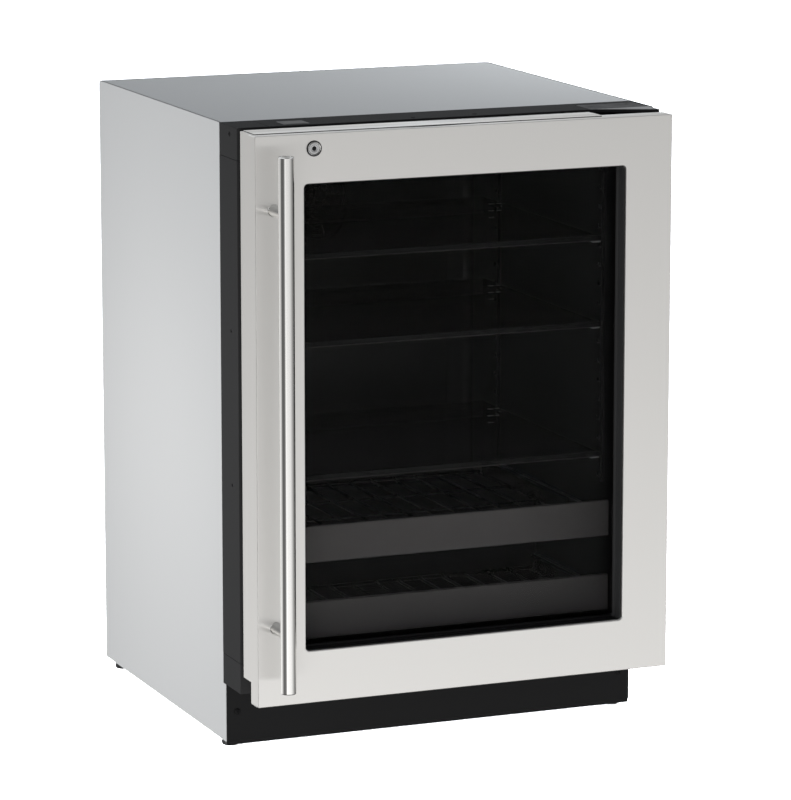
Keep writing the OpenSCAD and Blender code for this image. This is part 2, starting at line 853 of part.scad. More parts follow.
module door_skin() {
    pan = [y_front, y_step];
    deep = [y_front, y_door];
    high = [door_z, z_door_top];
    color(stainless) difference() {
        union() {
            block([-x_door, x_door], [y_front, y_front + skin], high);
            block([-x_door, x_door], pan, [door_z, door_z + skin]);
            block([-x_door, x_door], deep, [z_door_top - skin, z_door_top]);
            both_sides() {
                block([-x_door, -x_door + skin], pan, high);
                block([-x_door, -x_door + skin], deep, [z_rear_part, z_door_top]);
            }
            block([-x_door, x_door], [y_step - skin, y_door], [z_rear_part, z_rear_part + skin]);
            difference() {
                window_cut(skin, [y_front, y_front + window_return]);
                window_cut(0, [y_front - overlap, y_front + window_return + overlap]);
            }
        }
        window_cut(0, [y_front - overlap, y_step]);
        block([-x_in, x_in], [y_step - 2 * skin, y_door + overlap], [z_rear_part + skin, z_door_top - skin]);
        along_y([lock_x, y_front - overlap, lock_z]) cylinder(r = lock_body_r + 0.1, h = 10);
        hinge_room();
    }
}

// The door's plastic frame behind the skin, before it is divided into stiles and rails
module door_core() {
    half = x_door - skin;
    rebate = window_w / 2 + glass_lap + joint_gap;
    rebate_h = window_h / 2 + glass_lap + joint_gap;
    glass_end = y_step + 2 * glass_t + spacer_t + 2 * glass_back;
    color(black_plastic) difference() {
        union() {
            block([-half, half], [y_front + skin, y_step - skin], [door_z + skin, z_door_top - skin]);
            block([-half, half], [y_step - 2 * skin, y_door], [z_rear_part + skin, z_door_top - skin]);
        }
        window_cut(0, [y_front, y_door + overlap]);
        window_cut(skin + 0.1, [y_front, y_front + window_return + 0.1]);
        block([-rebate, rebate], [y_step, glass_end], [window_z - rebate_h, window_z + rebate_h]);
        window_cut(glass_lap - glass_hold, [glass_end - overlap, y_door + overlap]);
        along_y([lock_x, y_front, lock_z]) cylinder(r = lock_body_r + 0.1, h = door_d + overlap);
        hinge_room();
    }
}

module door_stiles() {
    color(black_plastic) intersection() {
        door_core();
        both_sides() block([-x_door, -window_w / 2], [y_front, y_door + overlap], [0, case_h]);
    }
}

module door_rails() {
    half = window_w / 2 - joint_gap;
    color(black_plastic) intersection() {
        door_core();
        block([-half, half], [y_front, y_door + overlap], [0, case_h]);
    }
}

// A pane of the glazing unit
module pane(y) {
    color(clear_glass) block([-window_w / 2 - glass_lap, window_w / 2 + glass_lap], [y, y + glass_t],
        [window_z - window_h / 2 - glass_lap, window_z + window_h / 2 + glass_lap]);
}

module outer_glass() { pane(y_glass); }
module inner_glass() { pane(y_glass + glass_t + spacer_t); }

module glass_spacer() {
    x = window_w / 2 + glass_lap;
    z = window_h / 2 + glass_lap;
    y = y_glass + glass_t;
    color(zinc) difference() {
        block([-x, x], [y, y + spacer_t], [window_z - z, window_z + z]);
        block([-x + spacer_w, x - spacer_w], [y - overlap, y + spacer_t + overlap],
            [window_z - z + spacer_w, window_z + z - spacer_w]);
    }
}

module door_gasket() {
    color(black_plastic) difference() {
        block([-gasket_x, gasket_x], [y_door, y_door + gasket_t], [gasket_low, gasket_high]);
        block([-gasket_x + gasket_w, gasket_x - gasket_w], [y_door - overlap, y_door + gasket_t + overlap],
            [gasket_low + gasket_w, gasket_high - gasket_w]);
    }
}

// ---- Handle ----

module handle_bar() {
    edge = 1;
    color(stainless) translate([bar_x, y_bar, bar_z]) {
        cylinder(r1 = bar_d / 2 - edge, r2 = bar_d / 2, h = edge);
        translate([0, 0, edge]) cylinder(r = bar_d / 2, h = bar_l - 2 * edge);
        translate([0, 0, bar_l - edge]) cylinder(r1 = bar_d / 2, r2 = bar_d / 2 - edge, h = edge);
    }
}

module handle_posts() {
    color(stainless) for (z = post_heights) difference() {
        along_y([bar_x, y_bar, z]) cylinder(r = post_d / 2, h = bar_reach);
        translate([bar_x, y_bar, z - post_d]) cylinder(r = bar_d / 2 + running, h = 2 * post_d);
    }
}

// ---- Lock ----

module lock_housing() {
    color(stainless) along_y([lock_x, y_front - lock_flange_t, lock_z]) difference() {
        union() {
            cylinder(r = lock_flange_r, h = lock_flange_t);
            cylinder(r = lock_body_r, h = door_d + lock_flange_t - 1);
        }
        translate([0, 0, -overlap]) cylinder(r = lock_r + running, h = door_d + 4);
    }
}

module lock_cylinder() {
    y_face = y_front - lock_flange_t + 0.4;
    key_r = 3.6;
    key_pin_r = 2;
    color(stainless) {
        along_y([lock_x, y_face, lock_z]) difference() {
            cylinder(r = lock_r, h = y_cam - y_face);
            difference() {
                translate([0, 0, -overlap]) cylinder(r = key_r, h = 5);
                translate([0, 0, -2 * overlap]) cylinder(r = key_pin_r, h = 8);
            }
        }
        block([lock_x - cam_w / 2, lock_x + cam_w / 2], [y_cam, y_cam + cam_t], [lock_z - cam_w / 2, lock_z + cam_l]);
    }
}

module lock_strike() {
    y0 = y_strike_lip;
    z = [lock_z - 7, lock_z + 7];
    color(zinc) {
        block([strike_x - 4, strike_x + strike_w + strike_t], [y_frame - strike_t, y_frame], z);
        block([strike_x + strike_w, strike_x + strike_w + strike_t], [y0, y_frame], z);
        block([strike_x, strike_x + strike_w + strike_t], [y0, y0 + strike_lip_t], z);
    }
}

side_panel_left();
side_panel_right();
top_panel();
rear_panel();
service_cover();
mains_gland();
front_frame_rails();
corner_covers();
kick_plate();
kick_screws();
base_pan();
leg_nuts();
leg_front_left();
leg_front_right();
leg_rear_left();
leg_rear_right();
liner();
insulation();
shelf_strips();
shelf_clips();
glass_shelves();
shelf_trims();
rack_rails();
upper_rack_tray();
upper_rack_fascia();
lower_rack_tray();
lower_rack_fascia();
evaporator();
evaporator_cover();
evaporator_fan_motor();
evaporator_fan_blade();
light_strip();
control_panel();
compressor();
compressor_mounts();
terminal_box();
condenser();
fan_shroud();
condenser_fan_motor();
condenser_fan_blade();
filter_drier();
refrigerant_lines();
drain_pan();
control_box();
hinge_bracket_top();
hinge_bracket_bottom();
hinge_screws();
lock_strike();
door_skin();
door_stiles();
door_rails();
outer_glass();
inner_glass();
glass_spacer();
door_gasket();
handle_bar();
handle_posts();
lock_housing();
lock_cylinder();
hinge_bushings();
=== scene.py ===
"""Looks of the undercounter refrigerator: materials, detailed pieces, studio and camera."""

import json
import math

import bmesh
import bpy
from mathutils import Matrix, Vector
from mathutils.geometry import tessellate_polygon


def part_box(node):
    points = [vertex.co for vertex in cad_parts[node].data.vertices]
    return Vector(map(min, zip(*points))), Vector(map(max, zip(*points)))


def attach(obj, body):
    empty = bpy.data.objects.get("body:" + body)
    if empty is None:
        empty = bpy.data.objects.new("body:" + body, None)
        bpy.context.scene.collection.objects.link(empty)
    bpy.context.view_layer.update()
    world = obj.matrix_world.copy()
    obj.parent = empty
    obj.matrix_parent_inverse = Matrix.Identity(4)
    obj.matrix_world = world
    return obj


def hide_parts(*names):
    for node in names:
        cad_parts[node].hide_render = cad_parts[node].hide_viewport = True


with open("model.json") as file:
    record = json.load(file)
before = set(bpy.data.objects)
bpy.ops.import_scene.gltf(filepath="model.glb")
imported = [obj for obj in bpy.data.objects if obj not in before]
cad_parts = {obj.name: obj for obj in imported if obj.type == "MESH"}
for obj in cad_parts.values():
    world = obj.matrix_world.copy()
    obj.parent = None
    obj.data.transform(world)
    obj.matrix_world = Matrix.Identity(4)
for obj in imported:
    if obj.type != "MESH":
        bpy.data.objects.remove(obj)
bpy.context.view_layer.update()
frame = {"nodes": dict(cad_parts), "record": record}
NODES = frame["nodes"]
SLOT_OF = {part["node"]: part["material_slot"] for part in frame["record"]["subparts"]}
BODY_OF = {
    node: body
    for body, members in frame["record"]["behaviour"]["bodies"].items()
    for node in members
}


def span(node):
    """Lowest and highest corner of a CAD node, in millimetres."""
    low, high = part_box(node)
    return low * 1000, high * 1000


# ---- Materials ----

WHITE = (1, 1, 1)

class Graph:
    """A node tree, with short ways to add nodes and to join them."""

    def __init__(self, tree):
        self.tree = tree
        tree.nodes.clear()

    def node(self, kind, settings=None, **inputs):
        made = self.tree.nodes.new("ShaderNode" + kind)
        for key, value in (settings or {}).items():
            setattr(made, key, value)
        for key, value in inputs.items():
            self.feed(made.inputs[key.replace("_", " ")], value)
        return made

    def feed(self, socket, value):
        if isinstance(value, bpy.types.NodeSocket):
            self.tree.links.new(value, socket)
        else:
            socket.default_value = value

    def math(self, operation, a, b=0.0):
        made = self.node("Math", {"operation": operation})
        self.feed(made.inputs[0], a)
        self.feed(made.inputs[1], b)
        return made.outputs[0]

    def blend(self, factor, first, second, kind="MIX"):
        """A mix of two colours."""
        made = self.node("MixRGB", {"blend_type": kind}, Fac=factor, Color1=first, Color2=second)
        return made.outputs["Color"]

    def choose(self, factor, first, second):
        """A mix of two shaders."""
        made = self.node("MixShader", Fac=factor)
        self.feed(made.inputs[1], first)
        self.feed(made.inputs[2], second)
        return made.outputs[0]


class Look(Graph):
    """A node material. Its patterns use object coordinates, which are metres."""

    def __init__(self, name):
        self.material = bpy.data.materials.new(name)
        self.material.use_nodes = True
        super().__init__(self.material.node_tree)
        self.output = self.node("OutputMaterial")
        self.place = self.node("TexCoord").outputs["Object"]

    def noise(self, scale, stretch=(1, 1, 1), detail=4.0, roughness=0.5):
        """Noise from 0 to 1 with features of about 1/scale metres, pulled out where stretch is small."""
        mapped = self.node("Mapping", Vector=self.place, Scale=stretch)
        made = self.node(
            "TexNoise",
            Vector=mapped.outputs["Vector"],
            Scale=scale,
            Detail=detail,
            Roughness=roughness,
        )
        return made.outputs["Fac"]

    def spread(self, factor, low, high):
        """Maps 0.3 to 0.7, where noise lies, to a range."""
        made = self.node("MapRange", From_Min=0.3, From_Max=0.7, To_Min=low, To_Max=high)
        self.feed(made.inputs["Value"], factor)
        return made.outputs["Result"]

    def tone(self, factor, colour, low, high):
        """A colour whose brightness follows a noise, between two shares of its own."""
        return self.blend(self.spread(factor, 0.0, 1.0), shade(colour, low), shade(colour, high))

    def bump(self, height, distance):
        """A bump of that height in millimetres."""
        made = self.node("Bump", Height=height, Distance=distance / 1000, Strength=1.0)
        return made.outputs["Normal"]

    def finish(self, shader):
        self.tree.links.new(shader, self.output.inputs["Surface"])
        return self.material

    def principled(self, **inputs):
        return self.finish(self.node("BsdfPrincipled", **inputs).outputs["BSDF"])


def shade(colour, factor):
    return tuple(min(1.0, channel * factor) for channel in colour) + (1.0,)


def surface(
    name,
    colour,
    roughness,
    metallic=0.0,
    cloud=(4, 0.05),
    grain=(700, 0.03),
    stretch=(1, 1, 1),
    worn=0.06,
    depth=0.02,
    **sockets,
):
    """A paint, plastic or metal: soft clouds and fine grain in its colour, roughness and relief."""
    look = Look(name)
    clouds = look.noise(cloud[0], detail=3.0)
    fine = look.noise(grain[0], stretch)
    tint = look.tone(clouds, colour, 1 - cloud[1], 1 + cloud[1])
    speck = look.tone(fine, WHITE, 1 - grain[1], 1)
    rough = look.math(
        "ADD", look.spread(clouds, -worn, worn), look.spread(fine, roughness * 0.9, roughness * 1.1)
    )
    return look.principled(
        Base_Color=look.blend(1.0, tint, speck, "MULTIPLY"),
        Roughness=rough,
        Metallic=metallic,
        Normal=look.bump(fine, depth),
        **sockets,
    )


def brushed(name, colour, roughness, stretch, depth, anisotropic):
    """Brushed or drawn metal, its grain along the small numbers of stretch."""
    look = Look(name)
    strokes = look.noise(1400, stretch, detail=5.0, roughness=0.6)
    clouds = look.noise(2.5, detail=2.0)
    tint = look.blend(
        1.0, look.tone(strokes, colour, 0.994, 1.004), look.tone(clouds, WHITE, 0.97, 1), "MULTIPLY"
    )
    rough = look.math(
        "ADD",
        look.spread(strokes, roughness * 0.98, roughness * 1.02),
        look.spread(clouds, -0.01, 0.01),
    )
    tangent = look.node("Tangent", {"direction_type": "RADIAL", "axis": "Z"})
    return look.principled(
        Base_Color=tint,
        Roughness=rough,
        Metallic=1.0,
        Anisotropic=anisotropic,
        Tangent=tangent.outputs["Tangent"],
        Normal=look.bump(strokes, depth),
    )


def galvanised(name, colour, roughness):
    """Zinc-coated sheet, with crystals about 8 mm across."""
    look = Look(name)
    cells = look.node("TexVoronoi", Vector=look.place, Scale=130.0)
    crystal = look.node("SeparateColor")
    look.feed(crystal.inputs["Color"], cells.outputs["Color"])
    fine = look.noise(500)
    rough = look.math(
        "ADD",
        look.math("MULTIPLY", crystal.outputs["Green"], 0.12),
        look.spread(fine, roughness - 0.05, roughness),
    )
    return look.principled(
        Base_Color=look.blend(crystal.outputs["Red"], shade(colour, 0.9), shade(colour, 1.06)),
        Roughness=rough,
        Metallic=0.9,
        Normal=look.bump(fine, 0.01),
    )


def glazing(name, tint, index, smear):
    """Glass that light passes straight through, with a weak reflection that grows at a slant."""
    look = Look(name)
    clouds = look.noise(6, detail=2.0)
    clear = look.node("BsdfTransparent", Color=look.tone(clouds, tint, 0.985, 1))
    gloss = look.node("BsdfGlossy", Roughness=look.spread(clouds, 0.01, smear))
    gloss.inputs["Color"].default_value = (1.0, 1.0, 1.0, 1.0)
    fresnel = look.node("Fresnel", IOR=index)
    return look.finish(look.choose(fresnel.outputs["Fac"], clear.outputs["BSDF"], gloss.outputs["BSDF"]))


def rigid_foam(name, colour):
    look = Look(name)
    cells = look.node("TexVoronoi", Vector=look.place, Scale=600.0)
    clouds = look.noise(9)
    return look.principled(
        Base_Color=look.tone(clouds, colour, 0.9, 1.06),
        Roughness=look.spread(clouds, 0.85, 0.95),
        Normal=look.bump(cells.outputs["Distance"], 0.4),
    )


def diffuser(name, colour, strength):
    """A light strip's cover: ribbed milky plastic that glows a little."""
    look = Look(name)
    ribs = look.node("TexWave", Vector=look.place, Scale=60.0)
    clouds = look.noise(40)
    return look.principled(
        Base_Color=look.tone(clouds, colour, 0.96, 1),
        Roughness=look.spread(clouds, 0.35, 0.45),
        Normal=look.bump(ribs.outputs["Fac"], 0.2),
        Emission_Color=shade((1.0, 0.97, 0.92), 1),
        Emission_Strength=strength,
    )


LOOKS = {
    "grey_paint": surface(
        "grey_powder_coat", (0.563, 0.570, 0.577), 0.45, cloud=(2, 0.012), grain=(260, 0.02),
        worn=0.02, depth=0.03, Specular_IOR_Level=0.08,
    ),
    "zinc_steel": galvanised("zinc_coated_steel", (0.58, 0.60, 0.62), 0.42),
    "rubber": surface("black_rubber", (0.022, 0.022, 0.023), 0.8, grain=(1500, 0.2), depth=0.05),
    "frame_plastic": surface(
        "grained_black_frame", (0.040, 0.040, 0.041), 0.6, cloud=(5, 0.06), grain=(1400, 0.15),
        depth=0.05, Specular_IOR_Level=0.01,
    ),
    "black_paint": surface(
        "black_powder_coat", (0.012, 0.012, 0.0125), 0.45, cloud=(4, 0.08), grain=(600, 0.1),
        depth=0.03, Specular_IOR_Level=0.12,
    ),
    "leg_plastic": surface("leg_plastic", (0.02, 0.02, 0.021), 0.5, grain=(1200, 0.15), depth=0.03),
    "liner_plastic": surface(
        "black_liner_plastic", (0.010, 0.010, 0.0105), 0.35, cloud=(6, 0.1), grain=(900, 0.1), depth=0.03
    ),
    "foam": rigid_foam("cream_rigid_foam", (0.80, 0.68, 0.38)),
    "shelf_glass": glazing("shelf_glass", (0.84, 0.87, 0.86), 1.3, 0.04),
    "trim_plastic": surface(
        "black_trim", (0.010, 0.010, 0.0105), 0.55, grain=(900, 0.1), depth=0.015,
        Specular_IOR_Level=0.05,
    ),
    "black_wire": surface("coated_wire", (0.020, 0.020, 0.021), 0.28, grain=(500, 0.1), depth=0.04),
    "fascia_metal": surface(
        "bronze_grey_fascia", (0.102, 0.097, 0.099), 0.45, 0.1, cloud=(3, 0.03), grain=(900, 0.06),
        stretch=(0.02, 1, 1), worn=0.03, depth=0.004, Specular_IOR_Level=0.1,
    ),
    "aluminium": brushed("mill_aluminium", (0.72, 0.73, 0.74), 0.34, (1, 1, 0.01), 0.005, 0.2),
    "fan_plastic": surface("fan_plastic", (0.016, 0.016, 0.017), 0.45, grain=(900, 0.1)),
    "light_plastic": diffuser("milky_light_cover", (0.9, 0.9, 0.88), 0.6),
    "panel_plastic": surface("panel_plastic", (0.014, 0.014, 0.015), 0.25, grain=(900, 0.08)),
    "copper": surface(
        "copper_tube", (0.76, 0.36, 0.21), 0.3, 1.0, cloud=(30, 0.18), grain=(400, 0.1),
        worn=0.1, depth=0.02,
    ),
    "hinge_paint": surface(
        "black_hinge_paint", (0.035, 0.035, 0.036), 0.5, cloud=(40, 0.08), grain=(700, 0.12),
        depth=0.03, Specular_IOR_Level=0.06,
    ),
    "stainless": brushed("brushed_stainless", (0.86, 0.846, 0.82), 0.33, (1, 1, 0.03), 0.00003, 1.0),
    "stainless_bar": brushed(
        "polished_stainless_bar", (0.83, 0.82, 0.80), 0.11, (1, 1, 0.01), 0.0001, 0.1
    ),
    "lock_metal": surface(
        "satin_chrome_lock", (0.56, 0.56, 0.56), 0.22, 1.0, cloud=(120, 0.06),
        grain=(1500, 0.05), depth=0.004,
    ),
    "door_plastic": surface(
        "black_door_plastic", (0.022, 0.021, 0.021), 0.5, grain=(1100, 0.15), depth=0.03
    ),
    "door_glass": glazing("door_glass", (0.955, 0.955, 0.952), 1.08, 0.012),
    "spacer": surface(
        "anodised_spacer", (0.17, 0.17, 0.172), 0.4, 0.8, cloud=(20, 0.05), grain=(600, 0.1), depth=0.01
    ),
    "gasket_rubber": surface(
        "black_vinyl_gasket", (0.018, 0.018, 0.018), 0.55, grain=(1000, 0.12), depth=0.03
    ),
    "bushing_plastic": surface(
        "acetal_bushing", (0.78, 0.78, 0.75), 0.4, grain=(1200, 0.05), depth=0.01
    ),
}


# ---- Building shapes, in millimetres ----


X, Y, Z = Vector((1, 0, 0)), Vector((0, 1, 0)), Vector((0, 0, 1))
# An axis, and the two directions across it that a turned shape is drawn in.
AXES = {
    "x": (X, Y, Z), "y": (Y, Z, X), "z": (Z, X, Y),
    "-x": (-X, Y, Z), "-y": (-Y, X, Z), "-z": (-Z, X, Y),
}


def flat_axes(axis):
    """An axis, and the other two in order."""
    along, u, v = AXES[axis]
    return (along, v, u) if axis == "y" else (along, u, v)


def polar(degrees):
    """Cosine and sine of an angle."""
    angle = math.radians(degrees)
    return math.cos(angle), math.sin(angle)


def full_turn(sides):
    """Cosine and sine of even steps round a circle."""
    angles = [2 * math.pi * k / sides for k in range(sides)]
    return [(math.cos(angle), math.sin(angle)) for angle in angles]


class Shape:
    """Points and faces of a piece."""

    def __init__(self):
        self.points = []
        self.faces = []

    def add(self, points, faces):
        start = len(self.points)
        self.points += [tuple(p) for p in points]
        self.faces += [tuple(start + i for i in face) for face in faces]
        return self

    def rings(self, loops, closed=False):
        """Joins loops of equal length one to the next, then closes the run or caps its ends."""
        n = len(loops[0])
        points = [p for loop in loops for p in loop]
        faces = []
        steps = len(loops) if closed else len(loops) - 1
        for i in range(steps):
            a, b = i * n, (i + 1) % len(loops) * n
            faces += [(a + k, a + (k + 1) % n, b + (k + 1) % n, b + k) for k in range(n)]
        if not closed:
            faces += [tuple(range(n)), tuple(range(len(points) - n, len(points)))]
        return self.add(points, faces)

    def box(self, low, high):
        x, y, z = zip(low, high)
        loop = [(0, 0), (1, 0), (1, 1), (0, 1)]
        return self.rings([[(x[i], y[j], z[k]) for i, j in loop] for k in (0, 1)])

    def lathe(self, profile, at, axis="z", sides=48, closed=False):
        """Turns a profile of (radius, height) round an axis."""
        along, u, v = AXES[axis]
        base = Vector(at)
        loops = [
            [base + along * height + max(radius, 0.01) * (u * c + v * s) for c, s in full_turn(sides)]
            for radius, height in profile
        ]
        return self.rings(loops, closed)

    def tube(self, path, radius, sides=14):
        """A round rod along a path, with slightly domed ends."""
        path = [Vector(p) for p in path]
        last = len(path) - 1
        narrow, dome = 0.6 * radius, 0.3 * radius
        loops = []
        side = None
        for i, p in enumerate(path):
            ahead = (path[min(i + 1, last)] - path[max(i - 1, 0)]).normalized()
            if side is None:
                side = ahead.orthogonal().normalized()
            side = (side - ahead * side.dot(ahead)).normalized()
            other = ahead.cross(side)
            sections = [(radius, 0.0)]
            if i == 0:
                sections = [(narrow, 0.0), (radius, dome)]
            if i == last:
                sections = [(radius, -dome), (narrow, 0.0)]
            for size, shift in sections:
                loops.append([
                    p + ahead * shift + size * (side * c + other * s) for c, s in full_turn(sides)
                ])
        return self.rings(loops)

    def prism(self, outline, axis, low, high):
        """Extrudes an outline along an axis. Its numbers are the other two coordinates, in order."""
        along, u, v = flat_axes(axis)
        return self.rings([[along * t + u * p[0] + v * p[1] for p in outline] for t in (low, high)])

    def plate(self, outline, holes, axis, low, high):
        """A flat plate with holes, between two heights along an axis."""
        along, u, v = flat_axes(axis)
        rims = [outline] + holes
        flat = [[Vector((p[0], p[1], 0.0)) for p in rim] for rim in rims]
        triangles = tessellate_polygon(flat)
        ring = [p for rim in rims for p in rim]
        n = len(ring)
        points = [along * t + u * p[0] + v * p[1] for t in (low, high) for p in ring]
        faces = [tuple(t) for t in triangles] + [tuple(n + i for i in reversed(t)) for t in triangles]
        start = 0
        for rim in rims:
            m = len(rim)
            pairs = [(start + k, start + (k + 1) % m) for k in range(m)]
            faces += [(a, b, n + b, n + a) for a, b in pairs]
            start += m
        return self.add(points, faces)


def circle(x, y, radius, sides=32):
    return [(x + radius * c, y + radius * s) for c, s in full_turn(sides)]


def rounded(x, y, radius, steps=6):
    """A rectangle with round corners, from ranges of its two coordinates."""
    corners = [(x[1], y[1], 0), (x[0], y[1], 90), (x[0], y[0], 180), (x[1], y[0], 270)]
    points = []
    for cx, cy, start in corners:
        cx += radius if cx == x[0] else -radius
        cy += radius if cy == y[0] else -radius
        for k in range(steps + 1):
            c, s = polar(start + 90 * k / steps)
            points.append((cx + radius * c, cy + radius * s))
    return points


def bent(path, radius, steps=6):
    """Rounds the corners of a path with arcs."""
    path = [Vector(p) for p in path]
    points = [path[0]]
    for before, corner, after in zip(path, path[1:], path[2:]):
        back, ahead = (before - corner).normalized(), (after - corner).normalized()
        reach = min(radius, 0.45 * (before - corner).length, 0.45 * (after - corner).length)
        for k in range(steps + 1):
            t = k / steps
            points.append(corner + back * reach * (1 - t) ** 2 + ahead * reach * t ** 2)
    return points + [path[-1]]


def place_object(name, data):
    """A new object in the scene."""
    made = bpy.data.objects.new(name, data)
    bpy.context.scene.collection.objects.link(made)
    return made


def face_outward(mesh):
    """Turns a mesh's faces outward, and shades them smooth."""
    work = bmesh.new()
    work.from_mesh(mesh)
    bmesh.ops.recalc_face_normals(work, faces=work.faces)
    for face in work.faces:
        face.smooth = True
    work.to_mesh(mesh)
    work.free()


def piece(name, shape, node, replaces=(), bevel=0.0, slot=None, segments=2, angle=32):
    """Makes a shape one piece, which rides on the node's body and takes its finish from a slot,
    by default the node's own."""
    mesh = bpy.data.meshes.new(name)
    mesh.from_pydata([Vector(p) / 1000 for p in shape.points], [], shape.faces)
    return settle(name, mesh, node, replaces, bevel, slot, segments, angle)


def settle(name, mesh, node, replaces, bevel, slot, segments=2, angle=32):
    """Gives a mesh its shading, finish, rounded edges and place in the assembly."""
    face_outward(mesh)
    mesh.set_sharp_from_angle(angle=math.radians(angle))
    made = place_object(name, mesh)
    slot = slot or SLOT_OF[node]
    mesh.materials.clear()
    mesh.materials.append(LOOKS[slot])
    if bevel:
        rounding = made.modifiers.new("edges", "BEVEL")
        rounding.width = bevel / 1000
        rounding.segments = segments
        rounding.limit_method = "ANGLE"
        rounding.angle_limit = math.radians(angle)
        rounding.use_clamp_overlap = False
        rounding.harden_normals = True
    weighted = made.modifiers.new("normals", "WEIGHTED_NORMAL")
    weighted.keep_sharp = True
    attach(made, BODY_OF[node])
    if replaces:
        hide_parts(*replaces)
    return made


def refine(node, bevel, segments=2):
    """A copy of a CAD node with its flat faces joined and its edges rounded, which replaces it."""
    mesh = NODES[node].data.copy()
    work = bmesh.new()
    work.from_mesh(mesh)
    bmesh.ops.remove_doubles(work, verts=work.verts, dist=1e-6)
    bmesh.ops.dissolve_limit(work, angle_limit=math.radians(1), verts=work.verts, edges=work.edges)
    work.to_mesh(mesh)
    work.free()
    return settle(node + "_finished", mesh, node, (node,), bevel, None, segments)


def carve(shape, cutter):
    """Cuts one shape out of another."""
    made = []
    for part in (shape, cutter):
        mesh = bpy.data.meshes.new("carving")
        mesh.from_pydata(part.points, [], part.faces)
        face_outward(mesh)
        made.append(place_object("carving", mesh))
    cut = made[0].modifiers.new("cut", "BOOLEAN")
    cut.operation = "DIFFERENCE"
    cut.solver = "EXACT"
    cut.use_self = True
    cut.object = made[1]
    bpy.context.view_layer.update()
    result = made[0].evaluated_get(bpy.context.evaluated_depsgraph_get()).data
    points = [v.co.copy() for v in result.vertices]
    carved = Shape().add(points, [tuple(f.vertices) for f in result.polygons])
    for part in made:
        bpy.data.objects.remove(part)
    return carved


def screw(at, axis, head_r, head_h):
    """A pan head with a cross recess, its underside at a point, facing along an axis."""
    dome = [(head_r, 0.0), (head_r, head_h * 0.25)]
    dome += [
        (head_r * c, head_h * (0.25 + 0.75 * s)) for c, s in map(polar, (15, 30, 45, 60, 75, 88))
    ]
    head = Shape().lathe(dome, at, axis, sides=28)
    along, u, v = AXES[axis]
    base = Vector(at)
    for a, b in ((u, v), (v, u)):
        corners = []
        for t in (head_h * 0.35, head_h * 1.4):
            wide = head_r * (0.38 + 0.18 * (t / head_h - 0.35))
            thin = head_r * 0.1
            corners.append([
                base + along * t + a * i * wide + b * j * thin
                for i, j in ((-1, -1), (1, -1), (1, 1), (-1, 1))
            ])
        head = carve(head, Shape().rings(corners))
    return head


def merged(shapes):
    """Several shapes as one."""
    whole = Shape()
    for shape in shapes:
        whole.add(shape.points, shape.faces)
    return whole


# ---- Main places, in millimetres ----

SKIN_LOW, SKIN_HIGH = span("door_skin")
X_DOOR = SKIN_HIGH.x
Z_DOOR = (SKIN_LOW.z, SKIN_HIGH.z)
Y_FRONT = SKIN_LOW.y
Y_DOOR = SKIN_HIGH.y
Y_STEP = Y_FRONT + 27.1
GLASS_LOW, GLASS_HIGH = span("outer_glass")
GLASS_LAP = 22.0
WINDOW_X = GLASS_HIGH.x - GLASS_LAP
WINDOW_Z = (GLASS_LOW.z + GLASS_LAP, GLASS_HIGH.z - GLASS_LAP)
WINDOW_R = 5.5
SHEET = 1.2
FRAME_LOW, FRAME_HIGH = span("corner_covers")
PIN_X, PIN_Y = X_DOOR - 14.5, Y_DOOR - 12.5
TOP_SCREWS = [(PIN_X + x, FRAME_LOW.y + y) for x, y in ((-65, 26), (-7, 14), (-7, 38))]
SHELF_HEIGHTS = (676.5, 556.0, 372.6)


# ---- Door ----


def door_loop(grow, radius, y, window=False):
    """A loop round the door or its window, grown by a distance."""
    x = WINDOW_X if window else X_DOOR
    z = WINDOW_Z if window else Z_DOOR
    edge = rounded((-x - grow, x + grow), (z[0] - grow, z[1] + grow), radius)
    return [(p[0], y, p[1]) for p in edge]


def make_door_pan():
    """The folded front sheet, with round folds, an opening for the glass and a return round it."""
    fold, lip = 1.2, 1.5
    behind, edge = Y_FRONT + SHEET, Y_FRONT + 4.0
    loops = [door_loop(0, 1.8, Y_STEP)]
    for c, s in map(polar, range(0, 91, 15)):
        loops.append(door_loop(-fold * (1 - c), 0.4 + 1.4 * c, Y_FRONT + fold * (1 - s)))
    for c, s in map(polar, range(90, -1, -15)):
        grow = lip * (1 - c)
        loops.append(door_loop(grow, WINDOW_R + grow, Y_FRONT + lip * (1 - s), True))
    inside = ((0, edge), (0.9, edge), (0.9, behind + 0.9), (2.0, behind))
    loops += [door_loop(grow, WINDOW_R, y, True) for grow, y in inside]
    loops.append(door_loop(-2.5, 0.5, behind))
    loops.append(door_loop(-SHEET, 0.6, Y_FRONT + 2.5))
    loops.append(door_loop(-SHEET, 0.6, Y_STEP))
    piece("door_pan", Shape().rings(loops, closed=True), "door_skin", ("door_skin",))


